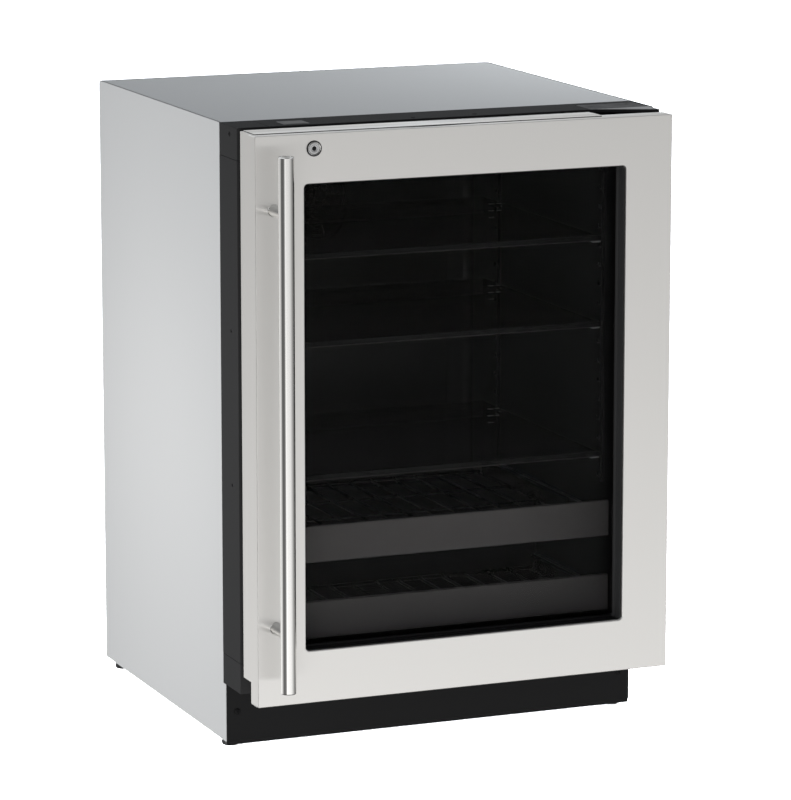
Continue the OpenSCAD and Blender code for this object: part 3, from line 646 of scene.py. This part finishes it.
def make_door_wrap():
    """The sheet round the door's rear part, with the notch for the top hinge, and the cap on its top."""
    notch_x, notch_z = 207.0, 850.0
    low, top = Z_DOOR[0] + 30, Z_DOOR[1]
    front = Y_STEP + 0.02

    def section(inset, y):
        x, corner, z = X_DOOR - inset, notch_x - inset, top - inset
        shoulder = notch_z - inset
        edge = [
            (-x, low + inset), (x, low + inset), (x, shoulder), (corner, shoulder), (corner, z), (-x, z),
        ]
        return [(p[0], y, p[1]) for p in edge]

    loops = [section(0.0, front), section(0.0, Y_DOOR), section(SHEET, Y_DOOR), section(SHEET, front)]
    piece("door_wrap", Shape().rings(loops, closed=True), "door_skin")
    cap_x, cap_y = (-X_DOOR + 4, notch_x - 5), (Y_FRONT + 12.5, Y_DOOR - 0.4)
    base = Shape().plate(rounded(cap_x, cap_y, 0.6, 2), [], "z", top - 0.2, top + 0.85)
    piece("door_cap_edge", base, "door_stiles", bevel=0.08, segments=1)
    inner_x, inner_y = (cap_x[0] + 0.15, cap_x[1] - 0.15), (cap_y[0] + 0.15, cap_y[1] - 0.15)
    cover = Shape().plate(rounded(inner_x, inner_y, 0.5, 2), [], "z", top + 0.84, top + 1.15)
    piece("door_cap_sheet", cover, "door_skin", bevel=0.1)
    x, z = X_DOOR - 0.2, Z_DOOR[0]
    bottom = Shape().box((-x, Y_FRONT + 6, z), (x, Y_STEP, z + SHEET))
    piece("door_foot_fold", bottom, "door_skin", bevel=0.3)


def make_jamb():
    """The black lining of the window, between the sheet and the glass, and the strip on its sill."""
    front, back = Y_FRONT + 4.1, Y_STEP
    loops = [
        door_loop(0.0, WINDOW_R, front, True),
        door_loop(-0.6, WINDOW_R - 0.6, front + 0.6, True),
        door_loop(-0.6, WINDOW_R - 0.6, back - 5.0, True),
        door_loop(-2.2, WINDOW_R - 2.2, back - 3.6, True),
        door_loop(-2.6, WINDOW_R - 2.6, back - 0.2, True),
        door_loop(-0.1, WINDOW_R, back - 0.1, True),
    ]
    piece("window_lining", Shape().rings(loops, closed=True), "door_stiles", slot="frame_plastic")
    z = WINDOW_Z[0]
    sill = [
        (front + 0.7, z + 0.5), (front + 0.7, z + 0.8), (back - 5.1, z + 0.85), (back - 3.7, z + 2.5),
        (back - 0.3, z + 2.9), (back - 0.3, z + 2.4), (back - 3.5, z + 2.0), (back - 4.9, z + 0.5),
    ]
    x = WINDOW_X - WINDOW_R - 0.5
    strip = Shape().prism(sill, "x", -x, x)
    piece("window_sill_strip", strip, "door_rails", bevel=0.05, segments=1, slot="trim_plastic")


def make_gasket():
    """A magnetic gasket: a foot, bellows and a magnet pocket, run round the door."""
    low, high = span("door_gasket")
    depth = high.y - low.y
    profile = [
        (1.0, 0.0), (8.0, 0.0), (8.7, 1.0), (7.2, 2.4), (8.7, 3.8), (9.0, 4.6), (9.0, depth - 0.6),
        (8.4, depth), (0.6, depth), (0.0, depth - 0.6), (0.0, 4.6), (0.3, 3.8), (1.8, 2.4), (0.3, 1.0),
    ]
    corner_r = 9.5
    loops = []
    for inset, y in profile:
        x, z = (low.x + inset, high.x - inset), (low.z + inset, high.z - inset)
        loops.append([(p[0], low.y + y, p[1]) for p in rounded(x, z, corner_r - inset)])
    seal = Shape().rings(loops, closed=True)
    piece("door_gasket_profile", seal, "door_gasket", ("door_gasket",), angle=40)


def make_handle():
    """The bar, with turned ends, and the posts, each with a small foot and a set screw."""
    low, high = span("handle_bar")
    x, y, r = (low.x + high.x) / 2, (low.y + high.y) / 2, (high.x - low.x) / 2
    end = [
        (0.0, 0.55), (r - 3.4, 0.5), (r - 3.0, 0.0), (r - 1.2, 0.0), (r - 0.5, 0.25), (r - 0.12, 0.8),
        (r, 1.6),
    ]
    length = high.z - low.z
    profile = end + [(r, length * t) for t in (0.25, 0.5, 0.75)]
    profile += [(a, length - b) for a, b in reversed(end)]
    bar = Shape().lathe(profile, (x, y, low.z), sides=96)
    piece("handle_bar_turned", bar, "handle_bar", ("handle_bar",))
    post_low, post_high = span("handle_posts")
    post_r = (post_high.x - post_low.x) / 2
    posts = Shape()
    screws = Shape()
    reach = Y_FRONT - y
    start = math.sqrt(r * r - post_r * post_r) - 0.4
    for z in (post_low.z + post_r, post_high.z - post_r):
        profile = [
            (post_r, start), (post_r, reach - 1.4), (post_r + 0.25, reach - 0.6),
            (post_r + 0.6, reach - 0.2), (post_r + 0.6, reach - 0.05), (post_r - 1, reach - 0.02),
        ]
        posts.lathe(profile, (x, y, z), "y", sides=48)
        rim = [(1.9, -0.5), (1.9, 0.06), (1.5, 0.06), (1.2, -0.4), (0.3, -0.45)]
        screws.lathe(rim, (x, Y_FRONT - 9, z - post_r), "-z", sides=20)
    piece("handle_posts_turned", posts, "handle_posts", ("handle_posts",), slot="stainless_bar")
    piece("handle_set_screws", screws, "handle_posts", slot="lock_metal")


def make_lock():
    """The lock's flange and body, and the turning face with a tubular keyhole and its cam."""
    low, high = span("lock_housing")
    x, z = (low.x + high.x) / 2, (low.z + high.z) / 2
    flange = (high.x - low.x) / 2
    front, length = low.y, high.y - low.y
    body = flange - 1.1
    bore = 8.05
    rim = 9.1
    profile = [
        (bore, 0.6), (bore + 0.3, 0.15), (rim - 0.2, 0.0), (rim, 0.3), (rim, 1.45), (body, 1.5),
        (body, length - 1.2), (body - 0.5, length), (bore, length),
    ]
    ring = Shape().lathe(profile, (x, front, z), "y", sides=64, closed=True)
    piece("lock_flange", ring, "lock_housing", ("lock_housing",))
    seal = [
        (rim + 0.1, 0.9), (rim + 0.1, 0.1), (rim + 0.5, -0.15), (flange - 0.3, 0.1), (flange, 0.6),
        (flange, 1.48),
    ]
    collar = Shape().lathe(seal, (x, front, z), "y", sides=64, closed=True)
    piece("lock_collar", collar, "lock_housing", slot="hinge_paint")
    low, high = span("lock_cylinder")
    face = low.y
    cam = high.y - 2.0
    profile = [
        (0.0, 9.0), (2.9, 9.0), (2.9, 0.4), (3.2, 0.1), (4.5, 0.0), (4.75, 0.3), (5.0, 0.0),
        (7.2, 0.0), (7.6, 0.3), (7.75, 0.7), (7.97, 0.9), (7.97, cam - face),
    ]
    # A black lining inside the keyhole: painted shade, so the hole reads dark.
    keyhole_shade_profile = [(2.88, 0.5), (2.88, 8.95), (0.0, 8.95), (0.0, 8.0), (2.5, 8.0), (2.5, 0.7)]
    keyhole_shade_lining = Shape().lathe(keyhole_shade_profile, (x, face, z), "y", sides=32)
    piece("lock_keyhole_painted_shade", keyhole_shade_lining, "lock_cylinder", slot="black_paint")
    core = Shape().lathe(profile, (x, face, z), "y", sides=64)
    notch = Shape().box((x - 0.5, face - 1, z + 2.4), (x + 0.5, face + 1.0, z + 4.0))
    core = carve(core, notch)
    tip = rounded((x - 4, x + 4), (z - 4, high.z), 3.4)
    core.plate(tip, [], "y", cam, cam + 2.0)
    core.lathe([(3.4, 0.0), (3.4, 0.5), (3.0, 0.9)], (x, cam + 0.4, z), "y", sides=6)
    piece("lock_core", core, "lock_cylinder", ("lock_cylinder",), bevel=0.12, segments=1)


make_door_pan()
make_door_wrap()
make_jamb()
make_gasket()
make_handle()
make_lock()
refine("outer_glass", 0.6)
refine("inner_glass", 0.6)
refine("glass_spacer", 0.3)
refine("hinge_bushings", 0.4)


# ---- Front frame, hinges and kick plate ----


def make_front_frame():
    """The black frame, the cover over its spare hinge holes, and its plugs."""
    refine("front_frame_rails", 0.6, segments=3)
    refine("corner_covers", 0.6, segments=3)
    top = FRAME_HIGH.z
    y = FRAME_LOW.y + 24.25
    blank = Shape().plate(rounded((-233, -196), (y - 17, y + 17), 2.0), [], "z", top - 0.4, top + 0.45)
    blank.plate(rounded((-229, -200), (y - 13, y + 13), 1.2), [], "z", top + 0.4, top + 0.7)
    piece("hinge_hole_cover", blank, "corner_covers", bevel=0.2, slot="door_plastic")
    plugs = Shape()
    rim = [(3.2, 0.0), (3.2, 0.45), (2.8, 0.7), (0.0, 0.75)]
    for x in (-45, 45):
        plugs.lathe(rim, (x, FRAME_LOW.y + 17.25, top - 0.05), "z", sides=24)
    button = [(3.2, -0.1), (3.2, 0.3), (2.7, 0.6), (1.6, 0.62), (1.2, 0.15), (0.0, 0.15)]
    plugs.lathe(button, (FRAME_LOW.x, FRAME_LOW.y + 28.25, top - 11), "-x", sides=24)
    piece("frame_hole_plugs", plugs, "corner_covers", slot="trim_plastic")


def make_kick():
    """The kick plate, and its screws with their shanks."""
    refine("kick_plate", 0.35)
    low, high = span("kick_screws")
    z = (low.z + high.z) / 2
    y = span("kick_plate")[0].y
    head_r = 4.6
    places = (low.x + head_r, high.x - head_r)
    heads = merged(screw((x, y - 0.02, z), "-y", head_r, 2.6) for x in places)
    for x in places:
        heads.lathe([(2.5, 0.0), (2.5, 5.0), (1.8, 6.0)], (x, y - 0.1, z), "y", sides=20)
    piece("kick_screw_heads", heads, "kick_screws", ("kick_screws",))


def make_top_bracket():
    """The top hinge plate, whose tab narrows to a corner at the pin, with a lighter facing on the tab as
    a painted highlight.
    """
    low, high = span("hinge_bracket_top")
    y_frame = FRAME_LOW.y
    base = high.z - 4
    outline = [
        (low.x, y_frame), (low.x + 3, y_frame - 1.2), (high.x - 12, low.y + 0.6), (high.x - 2, low.y),
        (high.x, low.y + 2), (high.x, high.y - 2), (high.x - 2, high.y), (low.x + 2, high.y),
        (low.x, high.y - 2),
    ]
    holes = [circle(p[0], p[1], 4.25, 28) for p in TOP_SCREWS]
    plate = Shape().plate(outline, holes, "z", base, high.z)
    pin = [(4.0, 0.2), (4.0, low.z - base + 0.8), (3.2, low.z - base)]
    plate.lathe(pin, (PIN_X, PIN_Y, base), "z", sides=40)
    piece("hinge_plate_top", plate, "hinge_bracket_top", ("hinge_bracket_top",), bevel=0.35)
    # A lighter metal facing on the tab's top: a painted highlight along the tab.
    tab = [
        (low.x + 9, y_frame - 0.6), (low.x + 10, y_frame - 3.2), (high.x - 13, low.y + 3),
        (high.x - 3.2, low.y + 1.4), (high.x - 1.4, low.y + 3.2), (high.x - 1.4, y_frame - 0.6),
    ]
    facing = Shape().plate(tab, [], "z", high.z - 0.05, high.z + 0.35)
    piece("hinge_tab_painted_highlight", facing, "hinge_bracket_top", bevel=0.12, slot="spacer")


def make_hinges():
    """The hinge brackets, the strike and the screws, of which the top bracket's are countersunk."""
    make_top_bracket()
    refine("hinge_bracket_bottom", 0.45)
    refine("lock_strike", 0.3)
    low = span("hinge_screws")[0]
    top = FRAME_HIGH.z
    sunk = [(2.45, -14.0), (2.45, -2.4), (4.15, -0.35), (4.15, -0.15), (3.9, -0.02), (0.0, 0.0)]
    heads = []
    for x, y in TOP_SCREWS:
        head = Shape().lathe(sunk, (x, y, top), "z", sides=32)
        for wide, thin in ((2.0, 0.42), (0.42, 2.0)):
            cross = Shape().box((x - wide, y - thin, top - 1.5), (x + wide, y + thin, top + 1))
            head = carve(head, cross)
        heads.append(head)
    for x in (PIN_X - 17, PIN_X + 3):
        heads.append(screw((x, FRAME_LOW.y - 4.05, low.z + 4.2), "-y", 4.15, 2.3))
    piece("hinge_screw_heads", merged(heads), "hinge_screws", ("hinge_screws",))


make_front_frame()
make_kick()
make_hinges()


# ---- Outer case ----


def make_case():
    """The side panels, the top sheet with its seam tapes, and the rear flanges with their screws."""
    refine("side_panel_left", 0.42, segments=3)
    refine("side_panel_right", 0.42, segments=3)
    case_low = span("side_panel_left")[0]
    low, high = span("top_panel")
    lid = Shape().box((low.x + 1.6, low.y, low.z), (high.x - 1.6, high.y, high.z))
    piece("top_sheet", lid, "top_panel", ("top_panel",), bevel=0.45, segments=3)
    x_out, back = -case_low.x, high.y
    x_screw = x_out - 6.5
    screw_heights = (250, 450, 650, 830)
    tape, flanges, heads = Shape(), Shape(), []
    for side in (-1, 1):
        x = sorted((side * (high.x - 1.55), side * (high.x + 0.8)))
        tape.box((x[0], low.y + 0.5, low.z), (x[1], high.y - 0.5, low.z + 0.6))
        x = sorted((side * (x_out - 0.1), side * (x_out - 13)))
        holes = [circle(side * x_screw, z, 1.6, 16) for z in screw_heights]
        flanges.plate(rounded(x, (case_low.z + 4, high.z - 3), 2.0), holes, "y", back, back + 0.9)
        heads += [screw((side * x_screw, back + 0.9, z), "y", 3.4, 1.9) for z in screw_heights]
    heads += [screw((x, back, high.z - 9), "y", 3.4, 1.9) for x in (-230, -77, 77, 230)]
    piece("top_seam_tape", tape, "top_panel", slot="gasket_rubber", bevel=0.05, segments=1)
    piece("rear_flanges", flanges, "side_panel_left", bevel=0.25)
    piece("rear_screws", merged(heads), "rear_panel")


def make_service_cover():
    """The cover over the machine compartment, with a pressed hood over each slot, and the gland."""
    refine("service_cover", 0.25)
    low, high = span("service_cover")
    y = high.y
    hoods = Shape()
    for x0 in (-210, -50, 110):
        for i in range(7):
            z = 80 + 14 * i
            arc = [(y - 0.05, z + 5.6)]
            arc += [(y + 3.4 * s, z + 5.4 - 5.6 * (1 - c)) for c, s in map(polar, (20, 40, 60, 80))]
            arc += [(y + 2.8, z - 0.2), (y + 2.3, z + 1.6), (y + 1.2, z + 3.6), (y - 0.05, z + 4.6)]
            hoods.prism(arc, "x", x0 + 1, x0 + 89)
    piece("cover_hoods", hoods, "service_cover", bevel=0.2)
    places = [(x, y, z) for x in (-290, -97, 97, 290) for z in (24, high.z - 8)]
    heads = merged(screw(place, "y", 3.8, 2.1) for place in places)
    piece("cover_screws", heads, "service_cover")
    low, high = span("mains_gland")
    x, z = (low.x + high.x) / 2, (low.z + high.z) / 2
    length = high.y - low.y
    profile = [
        (4.1, 0.3), (4.4, 0.0), (11.0, 0.0), (11.0, 6.9), (8.9, 7.0), (8.9, 8.0), (11.6, 8.1),
        (12.0, 8.5), (12.0, length - 0.6), (11.4, length), (5.0, length), (4.1, length - 0.8),
    ]
    ring = Shape().lathe(profile, (x, low.y, z), "y", closed=True)
    piece("gland_ring", ring, "mains_gland", ("mains_gland",))


def make_legs():
    """Each leg: a turned foot with a rounded rim, a hexagon and a threaded stud."""
    for node in ("leg_front_left", "leg_front_right", "leg_rear_left", "leg_rear_right"):
        low, high = span(node)
        x, y, r = (low.x + high.x) / 2, (low.y + high.y) / 2, (high.x - low.x) / 2
        foot = [
            (r - 2.2, 0.0), (r - 1.4, 0.15), (r - 0.3, 1.3), (r, 2.2), (r, 5.0), (r - 0.5, 6.1),
            (r - 1.6, 6.9), (7.0, 7.0),
        ]
        hexagon = [(7.1, 6.9), (7.5, 7.2), (7.5, 13.4), (7.1, 13.8), (3.9, 13.85)]
        leg = Shape().lathe(foot, (x, y, low.z), sides=48)
        leg.lathe(hexagon, (x, y, low.z), sides=6)
        thread = [(3.1, 13.8)]
        z = 14.0
        while z < high.z - 1.6:
            thread += [(3.4, z), (3.98, z + 0.5), (3.98, z + 0.75)]
            z += 1.25
        thread += [(3.3, z), (2.6, high.z)]
        leg.lathe(thread, (x, y, low.z), sides=24)
        piece(node + "_turned", leg, node, (node,), angle=25)


make_case()
make_service_cover()
make_legs()


# ---- Inside ----


def make_liner():
    """The moulded liner, with round corners and the step over the machine compartment."""
    low, high = span("liner")
    t, r = 1.5, 14.0
    front, back = low.y, high.y
    x = high.x - t
    top = high.z - t
    floor, step = low.z + t, 245.5
    floor_depth = 277.0
    riser = front + floor_depth

    def loop(inset, bottom, y, radius=r):
        """A section at a depth, drawn in by an inset."""
        edge = rounded((-x + inset, x - inset), (bottom + inset, top - inset), radius, 8)
        return [(p[0], y, p[1]) for p in edge]

    loops = [loop(0, floor, front, 3.0), loop(0, floor, front + 1.5, 5.0), loop(0, floor, front + 14, r)]
    loops.append(loop(0, floor, riser - r))
    for c, s in map(polar, (25, 50, 75)):
        loops.append(loop(0, floor + r * (1 - c), riser - r + r * s))
    loops.append(loop(0, floor + r, riser))
    loops.append(loop(0, step - 3, riser))
    loops.append(loop(0, step - 0.9, riser + 0.9))
    loops.append(loop(0, step, riser + 3))
    loops.append(loop(0, step, back - t - r))
    for c, s in map(polar, (30, 60)):
        loops.append(loop(r * (1 - c), step, back - t - r + r * s))
    loops.append(loop(r, step, back - t, 3.0))
    shell = Shape().rings(loops)
    shell.faces = [face for face in shell.faces if face != tuple(range(len(loops[0])))]
    modifiers = piece("liner_moulding", shell, "liner", ("liner",), angle=50).modifiers
    skin = modifiers.new("skin", "SOLIDIFY")
    skin.thickness = 0.0012
    skin.offset = 1.0
    modifiers.move(modifiers.find("skin"), 0)


def make_shelves():
    """The glass shelves, and the trim along the front of each, with a lighter strip at the trim's lower
    front as a painted highlight.
    """
    refine("glass_shelves", 0.9, segments=3)
    trims, highlight_strips = Shape(), Shape()
    low, high = span("shelf_trims")
    y0, y1 = low.y, low.y + 3.2
    for z in SHELF_HEIGHTS:
        outline = [
            (y0 + 0.5, z - 6), (y1, z - 6), (y1, z - 5.2), (y1 + 8, z - 5.1), (y1 + 8, z - 4.9),
            (y1, z - 4.85), (y1, z + 0.15), (y1 + 4, z + 0.1), (y1 + 4.4, z + 0.5), (y1 + 4, z + 0.9),
            (y1, z + 1.0), (y1 - 0.3, z + 1.7), (y1 - 1.0, z + 2.0), (y0 + 0.9, z + 2.0),
            (y0 + 0.2, z + 1.5), (y0, z + 0.8), (y0, z - 5.2), (y0 + 0.15, z - 5.7),
        ]
        trims.prism(outline, "x", low.x, high.x)
        # A thin lighter strip at the bottom of each trim's front: a painted highlight of its edge.
        highlight_strips.box((low.x + 0.4, low.y - 0.35, z - 5.8), (high.x - 0.4, low.y + 0.6, z - 5.2))
    piece("shelf_edge_profiles", trims, "shelf_trims", ("shelf_trims",), bevel=0.15, segments=1)
    piece("shelf_edge_painted_highlights", highlight_strips, "shelf_trims", bevel=0.12, segments=1, slot="fascia_metal")
    refine("shelf_strips", 0.35)
    refine("shelf_clips", 0.4)
    refine("rack_rails", 0.5)


def make_rack(side):
    """A rack: a folded fascia with a rolled top, side runners, and a tray of welded wires."""
    fascia, tray = side + "_rack_fascia", side + "_rack_tray"
    low, high = span(fascia)
    y0, y1, z0, z1 = low.y, high.y, low.z, high.z
    outline = [
        (y1, z0 + 0.6), (y1 - 0.4, z0), (y0 + 1.6, z0), (y0 + 0.5, z0 + 0.5), (y0, z0 + 1.6),
        (y0, z1 - 2.4), (y0 + 0.35, z1 - 1.2), (y0 + 1.2, z1 - 0.35), (y0 + 2.4, z1), (y1 - 1.6, z1),
        (y1 - 0.5, z1 - 0.5), (y1, z1 - 1.6), (y1, z1 - 5.5), (y1 - 1.2, z1 - 5.5), (y1 - 1.2, z1 - 2),
        (y1 - 1.8, z1 - 1.3), (y0 + 2.4, z1 - 1.3), (y0 + 1.3, z1 - 2.4), (y0 + 1.3, z0 + 1.6),
        (y0 + 1.7, z0 + 1.2), (y1, z0 + 1.2),
    ]
    sheet = Shape().prism(outline, "x", low.x, high.x)
    piece(fascia + "_folded", sheet, fascia, (fascia,), bevel=0.2, segments=1)
    caps = Shape()
    for x in (low.x + 0.05, high.x - 1.25):
        caps.box((x, y0 + 1.4, z0 + 1.4), (x + 1.2, y1 - 0.3, z1 - 1.5))
    piece(fascia + "_ends", caps, fascia, bevel=0.3, slot="black_wire")
    low, high = span(tray)
    wire = low.z + 3.5
    wires = Shape()
    half = high.x - 7.0
    gaps = 14
    for i in range(1, gaps):
        x = -half + i * 2 * half / gaps
        path = [
            (x, low.y + 3, wire + 3.4), (x, low.y + 12, wire), (x, high.y - 12, wire),
            (x, high.y - 3, wire + 3.4),
        ]
        wires.tube(bent(path, 6), 2.0, 12)
    z = wire + 1.2
    for y in (low.y + 3, high.y - 3):
        wires.tube([(-half - 1, y, z), (0, y, z), (half + 1, y, z)], 2.6)
    crossbars = 3 if side == "upper" else 1
    for i in range(crossbars):
        y = low.y + (high.y - low.y) * (i + 1) / (crossbars + 1)
        wires.tube([(-half - 1, y, wire - 1.7), (half + 1, y, wire - 1.7)], 1.7, 12)
    piece(tray + "_wires", wires, tray, (tray,), angle=50)
    runners = Shape()
    for turn in (-1, 1):
        x0, x1, x2 = turn * high.x, turn * (high.x - 1.4), turn * (high.x - 6.8)
        outline = [
            (x0, low.z), (x2, low.z), (x2, low.z + 1.4), (x1, low.z + 1.4), (x1, high.z - 1.4),
            (x2, high.z - 1.4), (x2, high.z), (x0, high.z),
        ]
        runners.prism(outline, "y", low.y, high.y)
    piece(tray + "_runners", runners, tray, bevel=0.3)


def make_evaporator_cover():
    """The evaporator's cover, with a wire guard over the fan and its fixing screws."""
    refine("evaporator_cover", 0.5)
    y = span("evaporator_cover")[0].y
    x, z = 0.0, 690.0
    guard = Shape()
    for r in (8, 16, 24, 32, 40):
        ring = [(x + r * c, y - 2.0, z + r * s) for c, s in map(polar, range(0, 361, 9))]
        guard.tube(ring, 1.0, 8)
    for c, s in map(polar, range(0, 360, 45)):
        guard.tube([(x + r * c, y - 0.8, z + r * s) for r in (6, 43)], 1.1, 8)
    guard.lathe([(9, 0.0), (9, 1.6), (8, 2.4), (0.0, 2.6)], (x, y - 0.4, z), "-y", sides=32)
    piece("cover_fan_guard", guard, "evaporator_cover", angle=50)
    places = [(x, y + 0.02, z) for x in (-188, 188) for z in (312, 530, 748)]
    heads = merged(screw(place, "-y", 4.0, 1.8) for place in places)
    piece("cover_fixing_screws", heads, "evaporator_cover")


make_liner()
make_shelves()
make_rack("upper")
make_rack("lower")
make_evaporator_cover()


# ---- Machine compartment ----


def make_machine():
    """The compressor's shell and its rubber bushes. The rest gets rounded edges."""
    refine("base_pan", 0.3)
    refine("leg_nuts", 0.3)
    refine("terminal_box", 1.2, segments=3)
    refine("control_box", 1.0)
    refine("drain_pan", 0.6)
    refine("fan_shroud", 0.4)
    refine("control_panel", 0.6)
    low, high = span("compressor")
    x, y = (low.x + high.x) / 2, (low.y + high.y) / 2
    base = low.z
    feet = [(x + side_x * 60, y + side_y * 55) for side_x in (-1, 1) for side_y in (-1, 1)]
    shell = [
        (42, 2.0), (52, 4.0), (61, 8.5), (67, 15), (70, 26), (70, 74), (70.9, 76), (70.9, 80),
        (70, 82), (70, 112), (67, 123), (61, 131.5), (52, 137), (42, 139.4), (20, 139.9),
        (0, high.z - base),
    ]
    body = Shape().lathe(shell, (x, y, base), sides=72)
    outline = rounded((low.x, high.x), (low.y, high.y), 12)
    body.plate(outline, [circle(p[0], p[1], 4.5, 20) for p in feet], "z", base, base + 2.5)
    piece("compressor_shell", body, "compressor", ("compressor",))
    bush = [
        (11.4, 0.0), (12, 0.8), (12, 3.6), (10.6, 5.0), (10.6, 6.6), (12, 7.8), (12, 11.0),
        (10, 12.4), (9, 14.4), (4, 14.5),
    ]
    bushes = Shape()
    for place in feet:
        bushes.lathe(bush, (*place, span("compressor_mounts")[0].z), sides=32)
    piece("mount_bushes", bushes, "compressor_mounts", ("compressor_mounts",))


make_machine()

# Every CAD node that still shows gets its slot's material.
for node, part in NODES.items():
    if not part.hide_render:
        for place in part.material_slots:
            place.link = "OBJECT"
            place.material = LOOKS[SLOT_OF[node]]


# ---- Studio ----


def make_world():
    """A bright horizon and a dimmer zenith, with a dark zone above the horizon in front. Below the
    horizon is what polished metal mirrors in place of the floor, with a dark strip to the left and
    a dark side to the right and rear. The camera itself sees plain white."""
    world = bpy.data.worlds.new("studio")
    bpy.context.scene.world = world
    world.use_nodes = True
    sky = Graph(world.node_tree)

    def ramp(place, stops):
        made = sky.node("ValToRGB", Fac=place)
        elements = made.color_ramp.elements
        while len(elements) < len(stops):
            elements.new(0.5)
        for element, (position, value) in zip(elements, stops):
            element.position = position
            element.color = (value, value, value, 1.0)
        return made.outputs["Color"]

    direction = sky.node("SeparateXYZ", Vector=sky.node("TexCoord").outputs["Generated"])
    x, y, z = (direction.outputs[axis] for axis in "XYZ")
    turn = sky.math("ARCTAN2", x, sky.math("MULTIPLY", y, -1.0))
    share = sky.node("MapRange", Value=turn, From_Min=-math.pi, From_Max=math.pi).outputs["Result"]
    low, high = (
        ramp(share, [(degrees / 360 + 0.5, value) for degrees, value in table])
        for table in (AROUND_LOW, AROUND_HIGH)
    )
    above = sky.math("GREATER_THAN", z, 0.0)
    height = sky.node("MapRange", Value=z, From_Min=-1.0).outputs["Result"]
    upward = ramp(height, [((polar(degrees)[1] + 1) / 2, value) for degrees, value in UPWARD])
    pattern = sky.blend(1.0, sky.blend(above, low, high), upward, "MULTIPLY")
    tint = sky.blend(above, (1.0, 1.0, 1.0, 1.0), SKY_TINT + (1.0,))
    tinted = sky.blend(1.0, pattern, tint, "MULTIPLY")
    steep = sky.node("MapRange", Value=z, From_Min=0.3, From_Max=0.6, To_Max=OVERHEAD)
    path = sky.node("LightPath")
    mirrored = sky.math("MULTIPLY", steep.outputs["Result"], path.outputs["Is Glossy Ray"])
    lifted = sky.blend(1.0, tinted, mirrored, "ADD")
    light = sky.node("Background", Color=lifted, Strength=WORLD_STRENGTH)
    plain = sky.node("Background", Color=(1.0, 1.0, 1.0, 1.0))
    seen = sky.choose(path.outputs["Is Camera Ray"], light.outputs[0], plain.outputs[0])
    sky.node("OutputWorld", Surface=seen)


def make_floor():
    """A pale floor. It lights the object evenly, and is brightest close to it."""
    mesh = bpy.data.meshes.new("studio_floor")
    size = 40.0
    corners = [(-size, -size, 0), (size, -size, 0), (size, size, 0), (-size, size, 0)]
    mesh.from_pydata(corners, [], [(0, 1, 2, 3)])
    floor = place_object("studio_floor", mesh)
    look = Look("pale_floor")
    seen = look.node("BsdfDiffuse", Color=(FLOOR_SEEN, FLOOR_SEEN, FLOOR_SEEN, 1.0))
    distance = look.node("VectorMath", {"operation": "LENGTH"})
    look.feed(distance.inputs[0], look.place)
    fall = look.node("MapRange", From_Min=0.3, From_Max=4.5, To_Min=FLOOR_NEAR, To_Max=FLOOR_FAR)
    look.feed(fall.inputs["Value"], distance.outputs["Value"])
    bounce = look.node("Emission", Strength=fall.outputs["Result"], Color=(1.0, 0.995, 0.98, 1.0))
    camera_ray = look.node("LightPath").outputs["Is Camera Ray"]
    mesh.materials.append(look.finish(look.choose(camera_ray, bounce.outputs[0], seen.outputs[0])))
    floor.visible_glossy = False


def make_lamp(name, at, aim, size, watts, colour=(1.0, 1.0, 1.0)):
    """A rectangular lamp that polished metal doesn't mirror."""
    lamp = bpy.data.lights.new(name, "AREA")
    lamp.shape = "RECTANGLE"
    lamp.size, lamp.size_y = size
    lamp.energy = watts
    lamp.color = colour
    made = place_object(name, lamp)
    made.location = at
    made.rotation_euler = (Vector(aim) - Vector(at)).to_track_quat("-Z", "Y").to_euler()
    made.visible_glossy = False


def make_camera():
    """The photograph's viewpoint."""
    at, aim = Vector((-2.3013, -5.6401, 1.6207)), Vector((0.0123, -0.0053, 0.4335))
    camera = place_object("camera", bpy.data.cameras.new("camera"))
    camera.data.lens = 198.9
    camera.location = at
    camera.rotation_euler = (aim - at).to_track_quat("-Z", "Y").to_euler()
    bpy.context.scene.camera = camera


# The world's brightness round the horizon, by degrees from the front, and upward, by degrees of height.
AROUND_LOW = [
    (-180, 0.9), (-165, 1.05), (-148, 1.1), (-136, 0.82), (-110, 0.66), (-101, 0.26), (-92, 0.14),
    (-66, 0.15), (-52, 0.24), (-44, 0.7), (-37, 1.35), (-29, 1.1), (-5, 1.03), (10, 1.0),
    (30, 0.88), (43, 0.68), (59, 0.46), (78, 0.24), (101, 0.18), (150, 0.3), (180, 0.9),
]
AROUND_HIGH = [
    (-180, 0.86), (-165, 0.92), (-90, 0.88), (-50, 0.82), (-38, 0.1), (22, 0.08), (45, 0.7),
    (120, 0.6), (180, 0.75),
]
UPWARD = [
    (-90, 0.1), (-40, 0.2), (-27, 0.45), (-19, 1.2), (-16, 1.07), (-8, 0.72), (-1, 0.52), (1, 1.0),
    (25, 0.8), (50, 0.2), (90, 0.1),
]
SKY_TINT = (0.95, 0.985, 1.02)
WORLD_STRENGTH = 1.15
OVERHEAD = 0.3
FLOOR_SEEN = 12.0
FLOOR_NEAR = 0.95
FLOOR_FAR = 0.75
make_world()
make_floor()
make_lamp("side_lamp", (-0.85, 0.1, 0.4), (-0.3, 0.1, 0.4), (0.35, 0.35), 1.35, (1.0, 0.98, 0.955))
make_lamp("top_lamp", (1.1, 0.4, 1.5), (0.3, 0.1, 0.86), (0.7, 0.7), 12, (0.95, 0.98, 1.0))
make_lamp("front_lamp", (-0.75, -1.3, 0.3), (-0.1, -0.2, 0.18), (0.5, 0.2), 4.5)
make_camera()
bpy.context.scene.view_settings.view_transform = "Standard"
